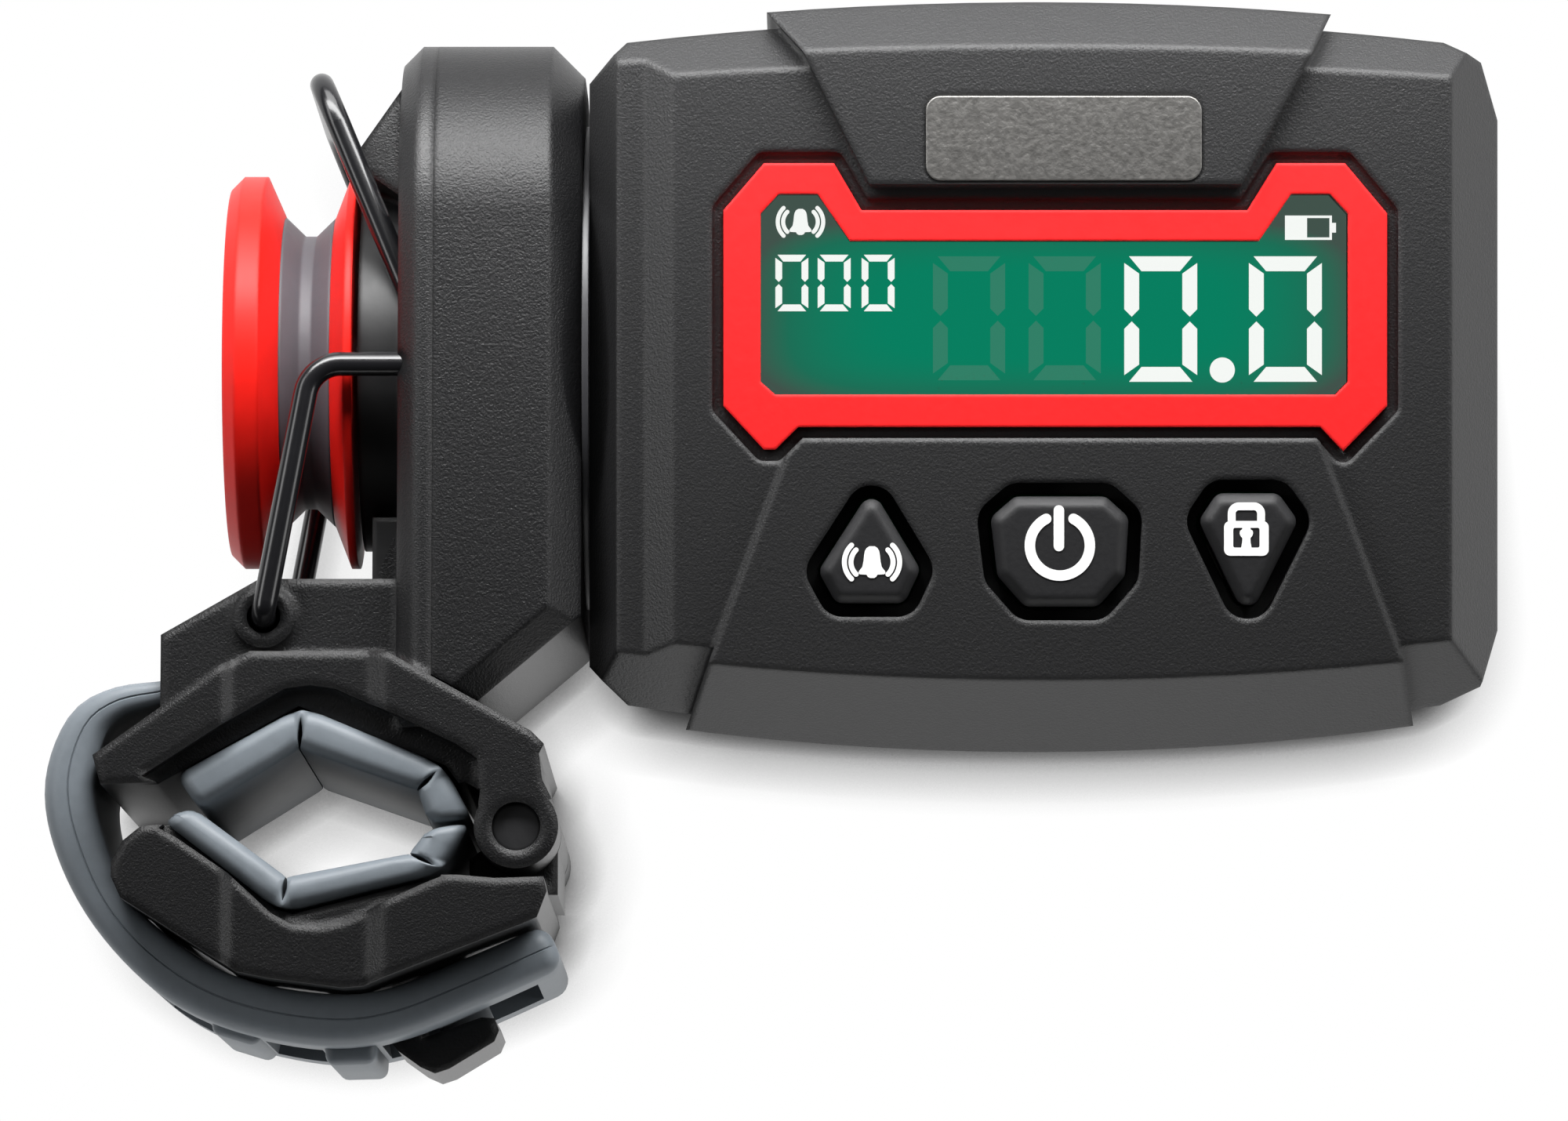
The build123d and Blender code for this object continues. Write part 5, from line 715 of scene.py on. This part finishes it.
def battery_icon(x0, x1, z0, z1):
    """Outlined battery, about half full, with its tip to the right."""
    right = x1 - (x1 - x0) * 0.08
    full = x0 + (right - x0) * 0.47
    bar, tip = (z1 - z0) * 0.1, (z1 - z0) * 0.2
    middle = (z0 + z1) / 2
    boxes = [(x0, right, z0, z0 + bar), (x0, right, z1 - bar, z1), (right - bar, right, z0, z1),
             (right, x1, middle - tip, middle + tip), (x0, full, z0, z1)]
    return [[(a, c), (b, c), (b, d), (a, d)] for a, b, c, d in boxes]


SMALL_DIGITS = [29.565, 32.19, 34.913]
SMALL_Z, SMALL_WIDTH, SMALL_HEIGHT, SMALL_BAR = 3.209, 2.042, 3.5, 0.42
LARGE_DIGITS = [51.199, 58.928]
LARGE_Z, LARGE_WIDTH, LARGE_HEIGHT, LARGE_BAR = -1.166, 4.521, 7.778, 0.92
GHOST_DIGITS = [39.337, 45.268]
GHOST_Z, GHOST_WIDTH, GHOST_HEIGHT = -1.069, 4.473, 7.681
POINT = (57.276, -0.437)
POINT_RADIUS = 0.78
SCREEN_BELL = (31.121, 8.751)
SCREEN_BELL_SIZE = 0.82
BATTERY_LEFT, BATTERY_RIGHT, BATTERY_LOW, BATTERY_HIGH = 61.165, 64.325, 7.633, 9.14


def marks(name, outlines, front, material):
    """One piece of thin marks just in front of the display."""
    bars = [head_slab(name + str(i), outline, SCREEN_Y - front, SCREEN_Y - MARK_BACK, material)
            for i, outline in enumerate(outlines)]
    piece = merged(name, bars)
    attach(piece, "head")
    return piece


def lcd_marks():
    lit, ghost = [], []
    for x in SMALL_DIGITS:
        lit += zero_digit(x, SMALL_Z, SMALL_WIDTH, SMALL_HEIGHT, SMALL_BAR)
    for x in LARGE_DIGITS:
        lit += zero_digit(x, LARGE_Z, LARGE_WIDTH, LARGE_HEIGHT, LARGE_BAR)
    for x in GHOST_DIGITS:
        ghost += zero_digit(x, GHOST_Z, GHOST_WIDTH, GHOST_HEIGHT, LARGE_BAR)
    lit.append(disc(*POINT, POINT_RADIUS))
    lit += bell(*SCREEN_BELL, SCREEN_BELL_SIZE)
    lit += battery_icon(BATTERY_LEFT, BATTERY_RIGHT, BATTERY_LOW, BATTERY_HIGH)
    lit_piece = marks("lcd_lit_marks", lit, LIT_FRONT, LIT)
    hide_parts("lcd_segments")
    marks("lcd_ghost_marks", ghost, GHOST_FRONT, GHOST)


screen()
lcd_marks()


# Key symbols
KEY_FACE = -18.5
PRINT_PROUD, PRINT_SUNK = 0.06, 0.02


def symbol(name, shapes, body, node):
    bars = [head_slab(name + str(i), outline, KEY_FACE - PRINT_PROUD, KEY_FACE + PRINT_SUNK, WHITE)
            for i, outline in enumerate(shapes)]
    piece = merged(name + "_print", bars)
    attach(piece, body)
    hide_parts(node)


KEY_BELL = (35.524, -12.347)
KEY_BELL_SIZE = 0.99
RING_CENTRE = (47.1, -11.33)
RING_RADIUS = 1.85
RING_HALF = 0.32
RING_GAP = 27                    # degrees each side of the top
BAR_X = 47.04
BAR_HIGH, BAR_LOW = -9.16, -11.36
CASE_LEFT, CASE_RIGHT, CASE_LOW, CASE_HIGH = 57.22, 59.97, -11.956, -9.814
CASE_ROUND = 0.38
CASE_SIDE, CASE_FLOOR, CASE_ROOF = 0.56, 0.5, 0.42
CASE_HOLE_ROUND = 0.12
SHACKLE_INSET = 0.23
SHACKLE_HIGH = -8.669
SHACKLE_ROUND = 0.69
SHACKLE_HALF = 0.24
# Keyhole from its head down, of half the case's hole in height
keyhole_shares = [(0.42, 1.0), (0.40, 0.86), (0.62, 0.70), (0.68, 0.45), (0.60, 0.20), (0.40, -0.05),
                  (0.42, -0.45), (0.52, -1.0)]


def shackle(half):
    """Arch of the padlock's shackle, half its thickness out or in from its middle line."""
    left, right = CASE_LEFT + SHACKLE_INSET + SHACKLE_HALF, CASE_RIGHT - SHACKLE_INSET - SHACKLE_HALF
    top, turn = SHACKLE_HIGH - SHACKLE_HALF, SHACKLE_ROUND - SHACKLE_HALF
    corners = arc_path(right - turn, top - turn, turn + half, 0, 90, 8)
    corners += arc_path(left + turn, top - turn, turn + half, 90, 180, 8)
    return [(right + half, CASE_HIGH)] + corners + [(left - half, CASE_HIGH)]


def padlock():
    """Lock with an outlined case, a keyhole in its middle and a round shackle."""
    outer = round_box(CASE_LEFT, CASE_RIGHT, CASE_LOW, CASE_HIGH, CASE_ROUND)
    left, right = CASE_LEFT + CASE_SIDE, CASE_RIGHT - CASE_SIDE
    low, high = CASE_LOW + CASE_FLOOR, CASE_HIGH - CASE_ROOF
    shapes = band_between(outer, round_box(left, right, low, high, CASE_HOLE_ROUND))
    middle, half = (low + high) / 2, (high - low) / 2
    centre = (CASE_LEFT + CASE_RIGHT) / 2
    keyhole = [(centre + half * a, middle + half * b) for a, b in keyhole_shares]
    shapes.append(keyhole + [(2 * centre - x, z) for x, z in reversed(keyhole)])
    return shapes + band_between(shackle(SHACKLE_HALF), shackle(-SHACKLE_HALF))[:-1]


symbol("bell", bell(*KEY_BELL, KEY_BELL_SIZE), "alarm_key", "alarm_symbol")
ring_path = arc_path(*RING_CENTRE, RING_RADIUS, 90 + RING_GAP, 450 - RING_GAP, 60)
symbol("power", [stroke(ring_path, RING_HALF), stroke([(BAR_X, BAR_LOW), (BAR_X, BAR_HIGH)], RING_HALF)],
       "power_key", "power_symbol")
symbol("padlock", padlock(), "lock_key", "lock_symbol")


# Camera
CAMERA_PLACE = (30.1, -550, -12.25)        # in the head's frame, and it looks straight at the head's face
CAMERA_LENS = 198
camera_data = bpy.data.cameras.new("camera")
camera_data.sensor_width = 36
camera_data.lens = CAMERA_LENS
camera_data.clip_start = 0.05
camera_data.clip_end = 20
camera = bpy.data.objects.new("camera", camera_data)
bpy.context.scene.collection.objects.link(camera)
upright = Matrix.Rotation(math.pi / 2, 4, "X")
camera.matrix_world = HEAD @ Matrix.Translation(Vector(CAMERA_PLACE) * MM) @ upright
bpy.context.scene.camera = camera


# Backdrop
BACKDROP_Y = 16.3                # just behind the clamp
BACKDROP_HALF = 900
PAPER_SHADE = 0.9
SHADOWS = [(2.5, 1.5), (5, 0.8)]           # reach and power
SHADOW_SAMPLES = 6
SHADOW_SIDE = (-0.3, -0.7, 0.65)


def contact_shade(tree):
    """1 away from the part and less near it, over several reaches."""
    side = tree.nodes.new("ShaderNodeCombineXYZ")
    for socket, value in zip(side.inputs, SHADOW_SIDE):
        socket.default_value = value
    shade = None
    for reach, strength in SHADOWS:
        near = tree.nodes.new("ShaderNodeAmbientOcclusion")
        near.samples = SHADOW_SAMPLES
        near.inputs["Distance"].default_value = reach * MM
        tree.links.new(side.outputs[0], near.inputs["Normal"])
        power = math_node(tree, "POWER", near.outputs["AO"], strength)
        shade = power if shade is None else math_node(tree, "MULTIPLY", shade, power)
    return shade


def backdrop():
    """White paper that only darkens close behind the part, and is clear from behind."""
    mat, tree, out = nodes_of("backdrop_white")
    diffuse = tree.nodes.new("ShaderNodeBsdfDiffuse")
    diffuse.inputs["Color"].default_value = (PAPER_SHADE, PAPER_SHADE, PAPER_SHADE, 1)
    shade = contact_shade(tree)
    paper = tree.nodes.new("ShaderNodeEmission")
    tree.links.new(shade, paper.inputs["Strength"])
    path = tree.nodes.new("ShaderNodeLightPath").outputs
    behind = tree.nodes.new("ShaderNodeNewGeometry").outputs["Backfacing"]
    clear = tree.nodes.new("ShaderNodeBsdfTransparent")
    tint = math_node(tree, "MAXIMUM", math_node(tree, "MAXIMUM", shade, behind), path["Is Shadow Ray"])
    tree.links.new(tint, clear.inputs["Color"])
    mirrored = math_node(tree, "MAXIMUM", path["Is Glossy Ray"], path["Is Transmission Ray"])
    through = math_node(tree, "MAXIMUM", path["Is Camera Ray"], path["Is Shadow Ray"])
    surface = mixed(tree, mirrored, diffuse.outputs[0], paper.outputs[0])
    tree.links.new(mixed(tree, through, surface, clear.outputs[0]), out.inputs["Surface"])
    half = BACKDROP_HALF
    corners = [(-half, 0, -half), (half, 0, -half), (half, 0, half), (-half, 0, half)]
    place = Matrix.Translation((0, BACKDROP_Y * MM, 0))
    make("backdrop", corners, [(0, 1, 2, 3)], mat, place, smooth=False, closed=False)


backdrop()


# Lights
def area(name, place, target, width, height, power):
    """Soft box at a place in the head's frame, in millimetres, that faces a target."""
    data = bpy.data.lights.new(name, "AREA")
    data.shape = "RECTANGLE"
    data.size, data.size_y = width * MM, height * MM
    data.energy = power
    obj = bpy.data.objects.new(name, data)
    bpy.context.scene.collection.objects.link(obj)
    start, end = HEAD @ (Vector(place) * MM), HEAD @ (Vector(target) * MM)
    obj.matrix_world = Matrix.Translation(start) @ (start - end).to_track_quat("Z", "Y").to_matrix().to_4x4()


CENTRE = (30, 0, -5)
area("top_box", (40, -150, 430), CENTRE, 480, 240, 2.3)
area("left_box", (-400, -300, 120), CENTRE, 160, 420, 0.9)
area("right_box", (480, -160, 80), CENTRE, 200, 420, 0.85)
area("front_fill", (120, -640, 320), CENTRE, 300, 240, 0.12)
area("top_edge", (30, -50, 56), (30, -15, 8), 150, 24, 0.21)
area("low_edge", (30, -25, -150), (30, 0, -20), 160, 60, 0.06)
area("back_box", (60, 420, 300), CENTRE, 420, 240, 1.2)
area("back_side", (-380, 260, 40), CENTRE, 160, 360, 0.35)

# World
WORLD_LIGHT = 0.03               # and 1 where the camera sees it
world = bpy.data.worlds.new("world")
world.use_nodes = True
sky = world.node_tree
background = sky.nodes["Background"]
background.inputs["Color"].default_value = (1, 1, 1, 1)
seen = sky.nodes.new("ShaderNodeLightPath").outputs["Is Camera Ray"]
sky.links.new(math_node(sky, "MAXIMUM", seen, WORLD_LIGHT), background.inputs["Strength"])
bpy.context.scene.world = world
bpy.context.scene.view_settings.view_transform = "Standard"
